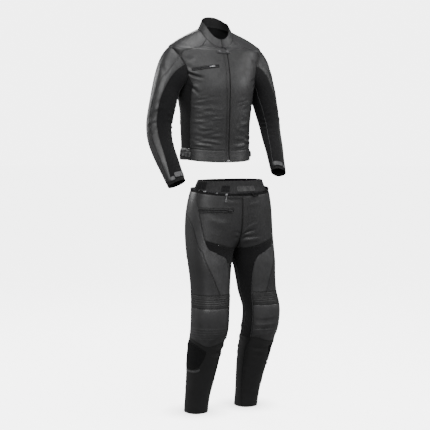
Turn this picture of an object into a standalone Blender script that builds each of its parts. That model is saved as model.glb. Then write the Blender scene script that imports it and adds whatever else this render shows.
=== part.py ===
"""Two-piece motorcycle suit, worn shape with no wearer: leather jacket above, leather trousers below.

The cloth is drawn flat, as a maker draws a pattern: (turn, level) on a tube, cut along seam lines.
Each flat piece is wrapped on the tube's sections and given its thickness inwards.
Turn 0 is the centre front and turn 0.25 is the wearer's left, +X. The suit faces -Y.
The origin is the middle of the jacket's neck seam, where the shoulders carry it.
"""

import math

import bmesh
import bpy
import numpy as np
from mathutils import Matrix, Vector
from mathutils.geometry import delaunay_2d_cdt

for old in list(bpy.data.objects):
    bpy.data.objects.remove(old)

# Thickness of each kind of cloth, the space between sewn pieces and the space under laid-on ones
LEATHER = 0.0016
STRETCH = 0.0013
COLLAR = 0.0028
BAND_WALL = 0.0026
SEAM_GAP = 0.0003
UNDERARM_GAP = 0.0010
COLLAR_GAP = 0.0016
ON_TOP = 0.0004

# How the flat drawing is divided: size of a cell, how near a line's end joins another line,
# how near it takes that line's own point, and how far grid points keep from the lines
CLOTH_STEP = 0.034
JOIN_WITHIN = 0.008
CORNER_WITHIN = 0.003
GRID_ROOM = 0.4 * CLOTH_STEP
ZONE_ROOM = 0.0030
SHORTEST = 1e-6
POINTS_PER_METRE = 20000
CURVE_STEPS = 8
STRAIGHT_POINTS = 9
SHARP = math.radians(40)

# Length round each tube, by which turns become metres in the flat drawing
TORSO_GIRTH = 1.05
COLLAR_GIRTH = 0.4
SLEEVE_GIRTH = 0.34
LEG_GIRTH = 0.56
BAND_GIRTH = 0.86

TAU = 2 * math.pi
# 2 makes the sections ellipses, and more makes them fuller
ROUND = 2.25
# How the height of a section's edge rises from the side to the middle
RISE = 1.5

# Jacket body, hem to neck seam: level (length of cloth above the hem), half width, depth in front
# of and behind the middle, and height at the front, the side and the back
TORSO = (
    (0.000, 0.161, 0.119, 0.108, -0.556, -0.543, -0.551),
    (0.048, 0.158, 0.114, 0.103, -0.508, -0.496, -0.503),
    (0.140, 0.161, 0.117, 0.103, -0.413, -0.405, -0.409),
    (0.240, 0.169, 0.122, 0.107, -0.312, -0.306, -0.309),
    (0.330, 0.183, 0.124, 0.111, -0.224, -0.220, -0.219),
    (0.410, 0.201, 0.113, 0.110, -0.147, -0.143, -0.140),
    (0.470, 0.217, 0.096, 0.102, -0.094, -0.087, -0.082),
    (0.505, 0.224, 0.086, 0.092, -0.070, -0.057, -0.050),
    (0.545, 0.195, 0.078, 0.081, -0.062, -0.034, -0.020),
    (0.600, 0.145, 0.072, 0.070, -0.059, -0.007, 0.012),
    (0.665, 0.079, 0.066, 0.058, -0.058, 0.020, 0.040),
)

# Collar's upper edge: half width, depth in front and behind, height at front, side and back
COLLAR_TOP = (0.0600, 0.058, 0.050, -0.021, 0.053, 0.084)
COLLAR_HEIGHT = 0.042

# Armhole, an egg on the body: turns from the side, levels of its lowest and highest point,
# and how much wider the egg is below than above
ARMHOLE_TURNS = 0.085
ARMHOLE_LOW = 0.318
ARMHOLE_HIGH = 0.508
ARMHOLE_EGG = 0.15

# Left sleeve below the armhole: level, middle x, y and z, half of the long and of the short width,
# and the turn of the oval section from outwards to backwards in degrees
SLEEVE = (
    (0.140, 0.248, 0.001, -0.262, 0.060, 0.055, 15),
    (0.210, 0.264, -0.001, -0.322, 0.058, 0.049, 24),
    (0.280, 0.278, -0.004, -0.388, 0.056, 0.044, 29),
    (0.350, 0.280, -0.022, -0.452, 0.053, 0.039, 29),
    (0.430, 0.272, -0.063, -0.523, 0.048, 0.034, 29),
    (0.500, 0.262, -0.100, -0.582, 0.043, 0.030, 29),
    (0.548, 0.254, -0.125, -0.622, 0.040, 0.028, 29),
)
CUFF_DROP = {"right": 0.020, "left": -0.018}
# The sleeve's cap leaves the armhole outwards, forwards on its front, and down
CAP_OUT = 0.8
CAP_FORWARD = 0.25
CAP_DOWN = 0.65
UNDERARM_ROUND = 0.075

# Left trouser leg, top to hem: level, middle x, half width, middle y, depth in front and behind.
# Above the crotch x is less than the half width and the two legs are one tube
LEG = (
    (0.000, 0.000, 0.183, 0.008, 0.113, 0.112),
    (0.060, 0.010, 0.187, 0.012, 0.118, 0.118),
    (0.120, 0.028, 0.176, 0.014, 0.120, 0.126),
    (0.180, 0.056, 0.150, 0.013, 0.117, 0.126),
    (0.230, 0.083, 0.124, 0.009, 0.110, 0.118),
    (0.275, 0.104, 0.104, 0.002, 0.102, 0.106),
    (0.330, 0.112, 0.095, -0.010, 0.096, 0.097),
    (0.400, 0.116, 0.087, -0.020, 0.090, 0.090),
    (0.470, 0.121, 0.083, -0.029, 0.087, 0.085),
    (0.540, 0.131, 0.081, -0.044, 0.087, 0.080),
    (0.630, 0.130, 0.080, -0.034, 0.085, 0.081),
    (0.710, 0.130, 0.074, 0.000, 0.079, 0.078),
    (0.800, 0.130, 0.067, 0.029, 0.072, 0.072),
    (0.880, 0.130, 0.059, 0.053, 0.065, 0.064),
    (0.950, 0.131, 0.053, 0.074, 0.058, 0.058),
    (1.018, 0.131, 0.051, 0.089, 0.056, 0.056),
)
CROTCH_ROW = 5
LEG_TOP = -0.668
# The trousers' top dips at the front, and the dip fades out over this length
LEG_FRONT_DROP = 0.022
DROP_FADE = 0.1
TROUSERS_SHIFT = (0.061, -0.034, 0)

# Soft waistband inside the trousers' top, from its upper edge down: level, half width, depth in
# front and behind, and height above the leather's edge at the side and at the front
BAND = (
    (0.000, 0.152, 0.093, 0.099, 0.033, 0.032),
    (0.030, 0.166, 0.097, 0.106, 0.001, -0.001),
    (0.068, 0.1876, 0.1080, 0.1176, -0.037, -0.038),
)
BAND_MIDDLE_Y = 0.006
BAND_TAB = ((-0.016, 0.024), (0.062, 0.024), (0.062, 0.046), (-0.016, 0.046))

# Seams on the body's left side, mirrored to the right, as (turn, level)
ZIP_TURN = 0.0045
WAISTBAND_TOP = 0.052
WAIST_SIDE = (0.193, 0.275)
YOKE_FRONT_SEAM = ((0.140, 0.665), (0.100, 0.600), (0.092, 0.550), (0.107, 0.507), (0.150, 0.487))
YOKE_BACK_SEAM = ((0.375, 0.665), (0.372, 0.560), (0.350, 0.490))
SIDE_FRONT_SEAM = (
    (0.161, 0.360),
    (0.150, 0.327),
    (0.168, 0.290),
    (0.187, 0.180),
    (0.193, 0.052),
    (0.193, 0.0),
)
SIDE_BACK_SEAM = ((0.256, 0.240), (0.268, 0.170), (0.275, 0.052))
THROAT_TAB = ((-0.024, 0.481), (0.015, 0.481), (0.015, 0.507), (-0.024, 0.507))
CHEST_ZIP = ((-0.139, 0.391), (-0.026, 0.411), (-0.026, 0.428), (-0.139, 0.406))

# Where seams meet the armhole, in turns round it from the shoulder point by the front
YOKE_FRONT_AT = 0.170
SIDE_FRONT_AT = 0.235
PIPING_AT = 0.420
SIDE_BACK_AT = 0.580
YOKE_BACK_AT = 0.830

# Seams of a sleeve, from armhole to cuff
STRIP_SEAM = (
    (0.170, 0.000),
    (0.165, 0.049),
    (0.143, 0.078),
    (0.090, 0.111),
    (0.062, 0.160),
    (0.055, 0.250),
    (0.070, 0.360),
    (0.060, 0.450),
    (0.030, 0.534),
)
STRETCH_SEAM = (
    (0.235, 0.000),
    (0.205, 0.060),
    (0.189, 0.098),
    (0.157, 0.160),
    (0.146, 0.230),
    (0.165, 0.350),
    (0.155, 0.446),
    (0.105, 0.534),
)
PIPING_SEAM = ((0.420, 0.000), (0.405, 0.080), (0.378, 0.230), (0.382, 0.394), (0.412, 0.534))
CUFF_TRIM = 0.014
CUFF_TAB = ((0.180, 0.509), (0.400, 0.509), (0.400, 0.531), (0.180, 0.531))

# Seams of the left leg, mirrored to the right
ZIP_TAPE = 0.016
SIDE_SEAM = 0.565
INNER_BACK_SEAM = (
    (1.000, 0.235),
    (0.940, 0.262),
    (0.890, 0.330),
    (0.890, 0.460),
    (0.900, 0.600),
    (0.905, 0.672),
)
FRONT_SEAM = ((0.410, 0.016), (0.401, 0.047), (0.371, 0.090), (0.337, 0.155), (0.316, 0.224))
STRETCH_TOP = (
    (0.316, 0.224),
    (0.260, 0.233),
    (0.205, 0.243),
    (0.150, 0.257),
    (0.070, 0.267),
    (0.000, 0.264),
)
STRETCH_END = ((0.316, 0.224), (0.305, 0.264))
STRETCH_LOW = (
    (0.305, 0.264),
    (0.272, 0.281),
    (0.218, 0.300),
    (0.182, 0.328),
    (0.152, 0.378),
    (0.118, 0.465),
    (0.094, 0.520),
    (0.088, 0.560),
    (0.094, 0.672),
)
DIAGONAL_SEAM = (
    (0.565, 0.112),
    (0.431, 0.171),
    (0.385, 0.265),
    (0.347, 0.328),
    (0.295, 0.394),
    (0.245, 0.465),
)
KNEE_LOW = ((0.094, 0.672), (0.180, 0.674), (0.300, 0.694), (0.430, 0.672), (0.565, 0.654))
KNEE_BACK = ((0.565, 0.654), (0.735, 0.664), (0.905, 0.672))
SHIN_SEAM = ((0.094, 0.672), (0.064, 0.740), (0.066, 0.885), (0.100, 1.018))
SLIDER_PATCH = (
    (0.310, 0.716),
    (0.420, 0.688),
    (0.550, 0.668),
    (0.625, 0.690),
    (0.640, 0.740),
    (0.610, 0.790),
    (0.550, 0.806),
    (0.440, 0.803),
    (0.370, 0.793),
    (0.325, 0.752),
)
FLY = ((0.004, 0.024), (0.040, 0.024), (0.040, 0.190), (0.014, 0.205), (0.004, 0.205))
POCKET = ((0.056, 0.078), (0.360, 0.082), (0.360, 0.099), (0.056, 0.095))

# Ribs above the knee and on it, and gathers at the sides of the jacket's waistband
RIB_TOP = 0.465
RIB_LOW = 0.520
RIB_TURNS = (0.115, 0.560)
RIB_COUNT = 6
RIB_HEIGHT = 0.0026
KNEE_RIBS = (0.606, 0.662)
KNEE_RIB_TURNS = (0.150, 0.500)
KNEE_RIB_COUNT = 4
KNEE_RIB_HEIGHT = 0.0018
RIB_FADE = 0.02
GATHER_TURNS = (0.196, 0.300)
GATHER_COUNT = 9
GATHER_HEIGHT = 0.0026
GATHER_FADE = 0.010

# Hard pieces: size along, across and thick, how far out of the cloth they sit, and their (turn, level)
PULL = (0.026, 0.0075, 0.0014)
POCKET_PULL = (0.020, 0.0065, 0.0014)
SLIDER = (0.011, 0.009, 0.0050)
ZIP_BOX = (0.009, 0.012, 0.0030)
CORNER_SHARE = 0.35
SNAP_RADIUS = 0.0058
SNAP_TOP_SHARE = 0.7
SNAP_HEIGHT = 0.0024
SNAP_LIFT = 0.0027
PULL_LIFT = 0.0032
ZIP_PULL_LIFT = 0.0020
TURNING_GAP = 0.0009
SNAPS = ((-0.0145, 0.494), (0.0055, 0.494))
ZIP_BOX_AT = (0.0, 0.002)
CHEST_PULL_AT = (-0.062, 0.4135)
CHEST_PULL_TO = (-0.042, 0.4171)
TOP_SLIDER_AT = (0.120, 0.003)
POCKET_PULL_AT = (0.066, 0.0870)


def read_table(rows, level):
    """The table's columns at each level, on a smooth curve through its rows."""
    rows = np.array(rows)
    level = np.clip(np.asarray(level, float), rows[0, 0], rows[-1, 0])
    place, values = rows[:, 0], rows[:, 1:]
    slope = np.gradient(values, place, axis=0)
    row = np.clip(np.searchsorted(place, level) - 1, 0, len(place) - 2)
    step = (place[row + 1] - place[row])[:, None]
    part = (level - place[row])[:, None] / step
    rest = 1 - part
    return (
        (1 + 2 * part) * rest**2 * values[row]
        + (1 + 2 * rest) * part**2 * values[row + 1]
        + part * rest * step * (rest * slope[row] - part * slope[row + 1])
    ).T


def rounded(wave):
    """A sine or cosine made fuller, for a section between an ellipse and a box."""
    return np.sign(wave) * np.abs(wave) ** (2 / ROUND)


def torso(turn, level):
    half_width, front, back, z_front, z_side, z_back = read_table(TORSO, level)
    along = rounded(np.cos(TAU * turn))
    ahead = along > 0
    lift = np.where(ahead, z_front, z_back) - z_side
    return np.stack(
        (
            half_width * rounded(np.sin(TAU * turn)),
            -np.where(ahead, front, back) * along,
            z_side + lift * np.abs(along) ** RISE,
        ),
        axis=1,
    )


def armhole(turn):
    """Turn and level on the body's left side, from the shoulder point round by the front."""
    middle = (ARMHOLE_HIGH + ARMHOLE_LOW) / 2
    reach = (ARMHOLE_HIGH - ARMHOLE_LOW) / 2
    egg = 1 - ARMHOLE_EGG * np.cos(TAU * turn)
    return 0.25 - ARMHOLE_TURNS * egg * np.sin(TAU * turn), middle + reach * np.cos(TAU * turn)


def unit(vectors):
    return vectors / np.linalg.norm(vectors, axis=1, keepdims=True)


def sleeve_ring(turn, level, drop):
    """Points round the sleeve, and its direction there. Turn 0 faces outwards and 0.25 forwards."""
    x, y, z, wide, narrow, twist = read_table(SLEEVE, level)
    ahead = unit((read_table(SLEEVE, level + 0.01)[:3] - read_table(SLEEVE, level - 0.01)[:3]).T)
    outward = unit(np.array([[1.0, 0.0, 0.0]]) - ahead[:, :1] * ahead)
    forward = np.cross(ahead, outward)
    twist = np.radians(twist)
    long_axis = np.cos(twist)[:, None] * outward - np.sin(twist)[:, None] * forward
    short_axis = np.sin(twist)[:, None] * outward + np.cos(twist)[:, None] * forward
    angle = TAU * turn + twist
    z = z - drop * np.clip((level - SLEEVE[0][0]) / (SLEEVE[-1][0] - SLEEVE[0][0]), 0, 1)
    return (
        np.stack((x, y, z), axis=1)
        + (wide * rounded(np.cos(angle)))[:, None] * long_axis
        + (narrow * rounded(np.sin(angle)))[:, None] * short_axis
    ), ahead


def left_sleeve(turn, level, drop):
    """The sleeve's cap swings from the armhole to the first ring, and the table shapes the rest."""
    turn = np.asarray(turn, float)
    level = np.asarray(level, float)
    first = SLEEVE[0][0]
    ring, ahead = sleeve_ring(turn, np.maximum(level, first), drop)
    start = torso(*armhole(turn))
    span = np.linalg.norm(ring - start, axis=1, keepdims=True)
    even = np.ones_like(turn)
    leave = unit(
        np.stack((CAP_OUT * even, -CAP_FORWARD * np.sin(TAU * turn), -CAP_DOWN * even), axis=1)
    )
    part = np.clip(level / first, 0, 1)[:, None]
    rest = 1 - part
    cap = (
        (1 + 2 * part) * rest**2 * start
        + (1 + 2 * rest) * part**2 * ring
        + part * rest * (rest * np.maximum(span, UNDERARM_ROUND) * leave - part * span * ahead)
    )
    return np.where(level[:, None] < first, cap, ring)


def leg(turn, level):
    """The left leg from the centre front or inseam, round the outside, to the centre back or inseam."""
    x, half_width, y, front, back = read_table(LEG, level)
    begin = np.arcsin(np.clip(x / half_width, 0, 1) ** (ROUND / 2))
    angle = -begin + turn * (math.pi + 2 * begin)
    along = rounded(np.cos(angle))
    ahead = along > 0
    fade = np.exp(-np.asarray(level) / DROP_FADE)
    drop = LEG_FRONT_DROP * fade * np.where(ahead, along, 0) ** RISE
    return np.stack(
        (
            np.maximum(x + half_width * rounded(np.sin(angle)), 0),
            y - np.where(ahead, front, back) * along,
            LEG_TOP - level - drop,
        ),
        axis=1,
    )


def flat_mesh(surface, girth, turns, levels, lines, zones=()):
    """Triangles of a tube drawn flat and cut along lines, with the lines' edges by name.

    A line is a name, a mode and points. An exact line keeps its points, a straight one has points
    added between its corners, and a curved one is smoothed first. A line that ends near another
    is joined to it, so that the pieces share every point of a seam.
    """
    scale = np.array([girth, 1.0])

    def nearest(point, chain):
        first = chain[:-1] * scale
        way = chain[1:] * scale - first
        part = np.clip(((point * scale - first) * way).sum(1) / (way**2).sum(1), 0, 1)
        foot = first + part[:, None] * way
        gap = np.linalg.norm(foot - point * scale, axis=1)
        best = int(gap.argmin())
        return gap[best], best, foot[best] / scale

    chains = []
    for name, mode, points in lines:
        points = np.array(points, float)
        if mode == "curved" and len(points) > 2:
            table = np.column_stack((np.arange(len(points)), points))
            count = CURVE_STEPS * (len(points) - 1) + 1
            points = read_table(table, np.linspace(0, len(points) - 1, count)).T
        chains.append([name, mode, points])
    joints = [[] for _ in chains]
    closed = [bool(np.allclose(chain[0], chain[-1])) for _, _, chain in chains]
    for index, (_, mode, chain) in enumerate(chains):
        for end in (0, -1):
            if closed[index]:
                continue
            for other, (_, other_mode, target) in enumerate(chains):
                if other == index or closed[other] and other_mode != "exact":
                    continue
                gap, segment, foot = nearest(chain[end], target)
                if gap > JOIN_WITHIN or mode == other_mode == "exact":
                    continue
                if mode == "exact":
                    joints[other].append((segment, tuple(chain[end])))
                    break
                to_point = np.linalg.norm((target - foot) * scale, axis=1)
                near = int(to_point.argmin())
                if other_mode == "exact" or to_point[near] < CORNER_WITHIN:
                    chain[end] = target[near]
                    if other_mode != "exact" and 0 < near < len(target) - 1:
                        joints[other].append((near, tuple(target[near])))
                else:
                    chain[end] = foot
                    joints[other].append((segment, tuple(foot)))
                break

    verts, edges, names = [], [], []
    for (name, mode, chain), inserted in zip(chains, joints):
        route = []
        for segment, point in enumerate(chain):
            route.append((point, mode != "curved" or segment in (0, len(chain) - 1)))
            here = [foot for where, foot in inserted if where == segment]
            here.sort(key=lambda foot: np.linalg.norm((foot - point) * scale))
            route += [(np.array(foot), True) for foot in here]
        flat = np.array([point for point, _ in route])
        stops = [index for index, (_, fixed) in enumerate(route) if fixed]
        for first, last in zip(stops, stops[1:]):
            run = flat[first : last + 1]
            if mode == "straight":
                run = np.linspace(run[0], run[-1], STRAIGHT_POINTS)
            world = surface(run[:, 0], run[:, 1])
            length = np.concatenate(([0], np.cumsum(np.linalg.norm(np.diff(world, axis=0), axis=1))))
            if length[-1] < SHORTEST:
                continue
            pieces = 1 if mode == "exact" else max(1, math.ceil(length[-1] / CLOTH_STEP - 0.3))
            reach = np.linspace(0, length[-1], pieces + 1)
            samples = np.column_stack([np.interp(reach, length, run[:, axis]) for axis in (0, 1)])
            start = len(verts)
            verts += [tuple(sample) for sample in samples]
            edges += [(start + step, start + step + 1) for step in range(pieces)]
            names += [name] * pieces

    placed = np.array(verts) * scale
    first = placed[[edge[0] for edge in edges]]
    way = placed[[edge[1] for edge in edges]] - first
    columns = max(1, round((turns[1] - turns[0]) * girth / CLOTH_STEP))
    rows = max(1, round((levels[1] - levels[0]) / CLOTH_STEP))
    grid = [
        (turn, level, GRID_ROOM)
        for turn in np.linspace(*turns, columns + 1)
        for level in np.linspace(*levels, rows + 1)
        if not any(zone[0][0] < turn < zone[0][-1] and zone[1][0] < level < zone[1][-1] for zone in zones)
    ]
    grid += [(turn, level, ZONE_ROOM) for zone in zones for turn in zone[0] for level in zone[1]]
    for turn, level, room in grid:
        point = np.array([turn, level]) * scale
        part = np.clip(((point - first) * way).sum(1) / np.maximum((way**2).sum(1), 1e-12), 0, 1)
        if np.linalg.norm(first + part[:, None] * way - point, axis=1).min() > room:
            verts.append((turn, level))

    flat = [Vector(tuple(np.array(vert) * scale)) for vert in verts]
    out, out_edges, faces, _, from_edges, _ = delaunay_2d_cdt(flat, edges, [], 0, SHORTEST)
    flat = np.array([tuple(point) for point in out]) / scale
    barriers = [
        (tuple(edge), {names[source] for source in sources})
        for edge, sources in zip(out_edges, from_edges)
        if sources
    ]
    return flat, [tuple(face) for face in faces], barriers


class Cloth:
    """Tubes of cloth joined where their points meet, from which the pieces are taken."""

    def __init__(self):
        self.points = []
        self.index = {}
        self.faces = []
        self.home = []
        self.barriers = {}
        self.relief = {}

    def add(self, tube, surface, mesh, mirror=False, flip=False, relief=None):
        flat, faces, barriers = mesh
        world = surface(flat[:, 0], flat[:, 1]) * [-1 if mirror else 1, 1, 1]
        raised = relief(flat[:, 0], flat[:, 1]) if relief else np.zeros(len(flat))
        ids = []
        for point, height in zip(world, raised):
            key = tuple(np.round(point * POINTS_PER_METRE).astype(int))
            if key not in self.index:
                self.index[key] = len(self.points)
                self.points.append(point)
                self.relief[self.index[key]] = 0.0
            ids.append(self.index[key])
            self.relief[self.index[key]] = max(self.relief[self.index[key]], height)
        for face in faces:
            corners = [ids[corner] for corner in face]
            if len(set(corners)) < 3:
                continue
            self.faces.append(tuple(corners[::-1] if mirror != flip else corners))
            self.home.append((tube, flat[list(face)]))
        for edge, names in barriers:
            key = tuple(sorted((ids[edge[0]], ids[edge[1]])))
            self.barriers.setdefault(key, set()).update(names)

    def finish(self):
        """Works out each point's outward direction, and which faces share an edge."""
        self.points = np.array(self.points)
        corners = self.points[np.array(self.faces)]
        area = np.cross(corners[:, 1] - corners[:, 0], corners[:, 2] - corners[:, 0])
        normals = np.zeros_like(self.points)
        for corner in range(3):
            np.add.at(normals, np.array(self.faces)[:, corner], area)
        self.normals = unit(normals + 1e-15)
        self.beside = {}
        for face, corners in enumerate(self.faces):
            for first, second in zip(corners, corners[1:] + corners[:1]):
                self.beside.setdefault(tuple(sorted((first, second))), []).append(face)

    def region(self, tube, turn, level, stops):
        """Faces round a place, as far as the lines named in stops."""
        seed = np.array((turn, level))
        found = set()
        for face, (home, corners) in enumerate(self.home):
            away = corners - seed
            turned = [away[i][0] * away[i - 2][1] - away[i][1] * away[i - 2][0] for i in range(3)]
            if home == tube and (min(turned) >= 0 or max(turned) <= 0):
                found.add(face)
                break
        edge_of = list(found)
        while edge_of:
            corners = self.faces[edge_of.pop()]
            for first, second in zip(corners, corners[1:] + corners[:1]):
                key = tuple(sorted((first, second)))
                if self.barriers.get(key, set()) & stops:
                    continue
                for face in self.beside[key]:
                    if face not in found:
                        found.add(face)
                        edge_of.append(face)
        return [self.faces[face] for face in sorted(found)]

    def shell(self, name, faces, low, high, material, ribbed=False, gap=SEAM_GAP):
        """A closed wall on some faces, from low to high along the outward direction."""
        used = sorted({corner for face in faces for corner in face})
        number = {corner: place for place, corner in enumerate(used)}
        faces = [tuple(number[corner] for corner in face) for face in faces]
        points = self.points[used]
        normals = self.normals[used]
        owner = {}
        for face in faces:
            for first, second in zip(face, face[1:] + face[:1]):
                owner[(first, second)] = face
        border = [edge for edge in owner if edge[::-1] not in owner]
        inward = np.zeros_like(points)
        directions = {}
        for first, second in border:
            along = points[second] - points[first]
            third = next(corner for corner in owner[(first, second)] if corner not in (first, second))
            side = points[third] - points[first]
            side = side - along * (side @ along) / (along @ along)
            side = side / np.linalg.norm(side)
            for corner in (first, second):
                directions.setdefault(corner, []).append(side)
        for corner, sides in directions.items():
            total = np.sum(sides, axis=0)
            inward[corner] = total * len(sides) / max(total @ total, 0.5)
        points = points + inward * gap / 2
        lift = np.array([self.relief[corner] for corner in used]) * ribbed
        outer = points + normals * (high + lift)[:, None]
        inner = points + normals * low
        total = len(used)
        # Neighbours split their edge walls along the same diagonal, so that twisted walls stay parallel
        sides = []
        for first, second in border:
            low_first, low_second = first + total, second + total
            if used[first] < used[second]:
                sides += [(second, first, low_second), (first, low_first, low_second)]
            else:
                sides += [(second, first, low_first), (second, low_first, low_second)]
        mesh = bpy.data.meshes.new(name)
        mesh.from_pydata(
            [tuple(point) for point in np.concatenate((outer, inner))],
            [],
            faces + [tuple(corner + total for corner in face[::-1]) for face in faces] + sides,
        )
        mesh.shade_smooth()
        mesh.set_sharp_from_angle(angle=SHARP)
        mesh.materials.append(material)
        bpy.context.collection.objects.link(bpy.data.objects.new(name, mesh))


def mirrored(points):
    return [(-turn, level) for turn, level in points]


def material(name, colour, roughness, metallic=0.0):
    made = bpy.data.materials.new(name)
    made.use_nodes = True
    shader = made.node_tree.nodes["Principled BSDF"]
    shader.inputs["Base Color"].default_value = (*colour, 1.0)
    shader.inputs["Roughness"].default_value = roughness
    shader.inputs["Metallic"].default_value = metallic
    made.diffuse_color = (*colour, 1.0)
    return made


def steps(*stops, by):
    """Places from stop to stop, about as far apart as by, with each stop kept."""
    places = [stops[0]]
    for first, last in zip(stops, stops[1:]):
        count = max(1, math.ceil((last - first) / by - 0.3))
        places += list(np.linspace(first, last, count + 1)[1:])
    return [float(place) for place in places]


def at(places, level):
    return [(place, level) for place in places]


def upright(turn, places):
    return [(turn, place) for place in places]


def box_lines(name, corners):
    return (name, "straight", (*corners, corners[0]))


def rib_relief(turn, level):
    """Ribs above the knee and softer ones below it, raised on the leather."""
    fade = np.clip(np.minimum(turn - RIB_TURNS[0], RIB_TURNS[1] - turn) / RIB_FADE, 0, 1)
    above = (level > RIB_TOP) & (level < RIB_LOW)
    wave = np.sin(math.pi * RIB_COUNT * (level - RIB_TOP) / (RIB_LOW - RIB_TOP)) ** 2
    below = (level > KNEE_RIBS[0]) & (level < KNEE_RIBS[1])
    down = (level - KNEE_RIBS[0]) / (KNEE_RIBS[1] - KNEE_RIBS[0])
    soft = np.sin(math.pi * KNEE_RIB_COUNT * down) ** 2
    return fade * (above * wave * RIB_HEIGHT + below * soft * KNEE_RIB_HEIGHT)


def gather_relief(turn, level):
    """Upright gathers at both sides of the jacket's waistband."""
    side = np.abs(turn)
    part = (side - GATHER_TURNS[0]) / (GATHER_TURNS[1] - GATHER_TURNS[0])
    inside = (part > 0) & (part < 1) & (level < WAISTBAND_TOP)
    rise = np.clip(np.minimum(level, WAISTBAND_TOP - level) / GATHER_FADE, 0, 1)
    return inside * rise * np.sin(math.pi * GATHER_COUNT * part) ** 2 * GATHER_HEIGHT


def collar(turn, level):
    """From the neck seam at level 0 to the collar's edge."""
    half_width, front, back, z_front, z_side, z_back = COLLAR_TOP
    along = rounded(np.cos(TAU * turn))
    ahead = along > 0
    edge = np.stack(
        (
            half_width * rounded(np.sin(TAU * turn)),
            -np.where(ahead, front, back) * along,
            z_side + (np.where(ahead, z_front, z_back) - z_side) * np.abs(along) ** RISE,
        ),
        axis=1,
    )
    base = torso(turn, np.full_like(turn, TORSO[-1][0]))
    return base + (edge - base) * level[:, None] / COLLAR_HEIGHT


def jacket_cloth():
    cloth = Cloth()
    neck = TORSO[-1][0]
    hole = steps(0, YOKE_FRONT_AT, SIDE_FRONT_AT, PIPING_AT, SIDE_BACK_AT, YOKE_BACK_AT, 1, by=0.055)
    half = steps(ZIP_TURN, YOKE_FRONT_SEAM[0][0], YOKE_BACK_SEAM[0][0], 0.5, by=0.055)
    neck_turns = [-turn for turn in half[::-1]] + half
    hem_half = steps(ZIP_TURN, WAIST_SIDE[0], 0.5, by=CLOTH_STEP)
    hem_turns = [-turn for turn in hem_half[::-1]] + hem_half
    back_levels = steps(0, WAISTBAND_TOP, neck, by=CLOTH_STEP)
    lines = [
        ("neck", "exact", at(neck_turns, neck)),
        ("hem", "exact", at(hem_turns, 0)),
        ("cut", "exact", upright(0.5, back_levels)),
        ("cut", "exact", upright(-0.5, back_levels)),
        box_lines("throat", THROAT_TAB),
        box_lines("chest", CHEST_ZIP),
    ]
    hole_points = list(zip(*armhole(np.array(hole))))
    waist = at((ZIP_TURN, *WAIST_SIDE, 0.5), WAISTBAND_TOP)
    for side in (list, mirrored):
        lines += [
            ("armhole", "exact", side(hole_points)),
            ("zip", "straight", side(upright(ZIP_TURN, (0, neck)))),
            ("waist", "straight", side(waist)),
            ("yoke", "curved", side((*YOKE_FRONT_SEAM, arm_point(YOKE_FRONT_AT)))),
            ("yoke", "curved", side((*YOKE_BACK_SEAM, arm_point(YOKE_BACK_AT)))),
            ("side", "curved", side((arm_point(SIDE_FRONT_AT), *SIDE_FRONT_SEAM))),
            ("side", "curved", side((arm_point(SIDE_BACK_AT), *SIDE_BACK_SEAM))),
        ]
    gathers = list(np.linspace(*GATHER_TURNS, 2 * GATHER_COUNT + 1))
    rows = (0.001, 0.010, 0.026, 0.042, 0.051)
    zones = ((gathers, rows), ([-turn for turn in gathers[::-1]], rows))
    body = flat_mesh(torso, TORSO_GIRTH, (-0.5, 0.5), (0, neck), lines, zones)
    cloth.add("torso", torso, body, relief=gather_relief)

    lines = [
        ("neck", "exact", at(neck_turns, 0)),
        ("edge", "exact", at(neck_turns, COLLAR_HEIGHT)),
        ("cut", "exact", upright(0.5, (0, COLLAR_HEIGHT / 2, COLLAR_HEIGHT))),
        ("cut", "exact", upright(-0.5, (0, COLLAR_HEIGHT / 2, COLLAR_HEIGHT))),
        ("front", "straight", upright(ZIP_TURN, (0, COLLAR_HEIGHT))),
        ("front", "straight", upright(-ZIP_TURN, (0, COLLAR_HEIGHT))),
    ]
    stand = flat_mesh(collar, COLLAR_GIRTH, (-0.5, 0.5), (0, COLLAR_HEIGHT), lines)
    cloth.add("collar", collar, stand)

    begin = SIDE_BACK_AT - 1
    end = SIDE_BACK_AT
    ring = [turn - 1 if turn > end + 1e-9 else turn for turn in hole]
    ring = sorted(set(ring) - {1.0, end} | {begin, end})
    cuff = SLEEVE[-1][0]
    trim = cuff - CUFF_TRIM
    ends = [seam[-1][0] for seam in (STRIP_SEAM, STRETCH_SEAM, PIPING_SEAM)]
    cuff_turns = steps(begin, *ends, end, by=0.09)
    seams = [
        ("armhole", "exact", at(ring, 0)),
        ("edge", "exact", at(cuff_turns, cuff)),
        ("trim", "exact", at(cuff_turns, trim)),
        ("strip", "curved", STRIP_SEAM),
        ("stretch", "curved", STRETCH_SEAM),
        ("piping", "curved", PIPING_SEAM),
        ("under", "exact", upright(begin, steps(0, trim, cuff, by=CLOTH_STEP))),
        ("under", "exact", upright(end, steps(0, trim, cuff, by=CLOTH_STEP))),
        box_lines("tab", CUFF_TAB),
    ]
    for side, drop in CUFF_DROP.items():
        def surface(turn, level, drop=drop):
            return left_sleeve(turn, level, drop)
        mesh = flat_mesh(surface, SLEEVE_GIRTH, (begin, end), (0, cuff), seams)
        cloth.add("sleeve_" + side, surface, mesh, mirror=side == "right")
    cloth.finish()
    return cloth


def arm_point(turn):
    return tuple(float(value) for value in armhole(turn))


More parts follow.
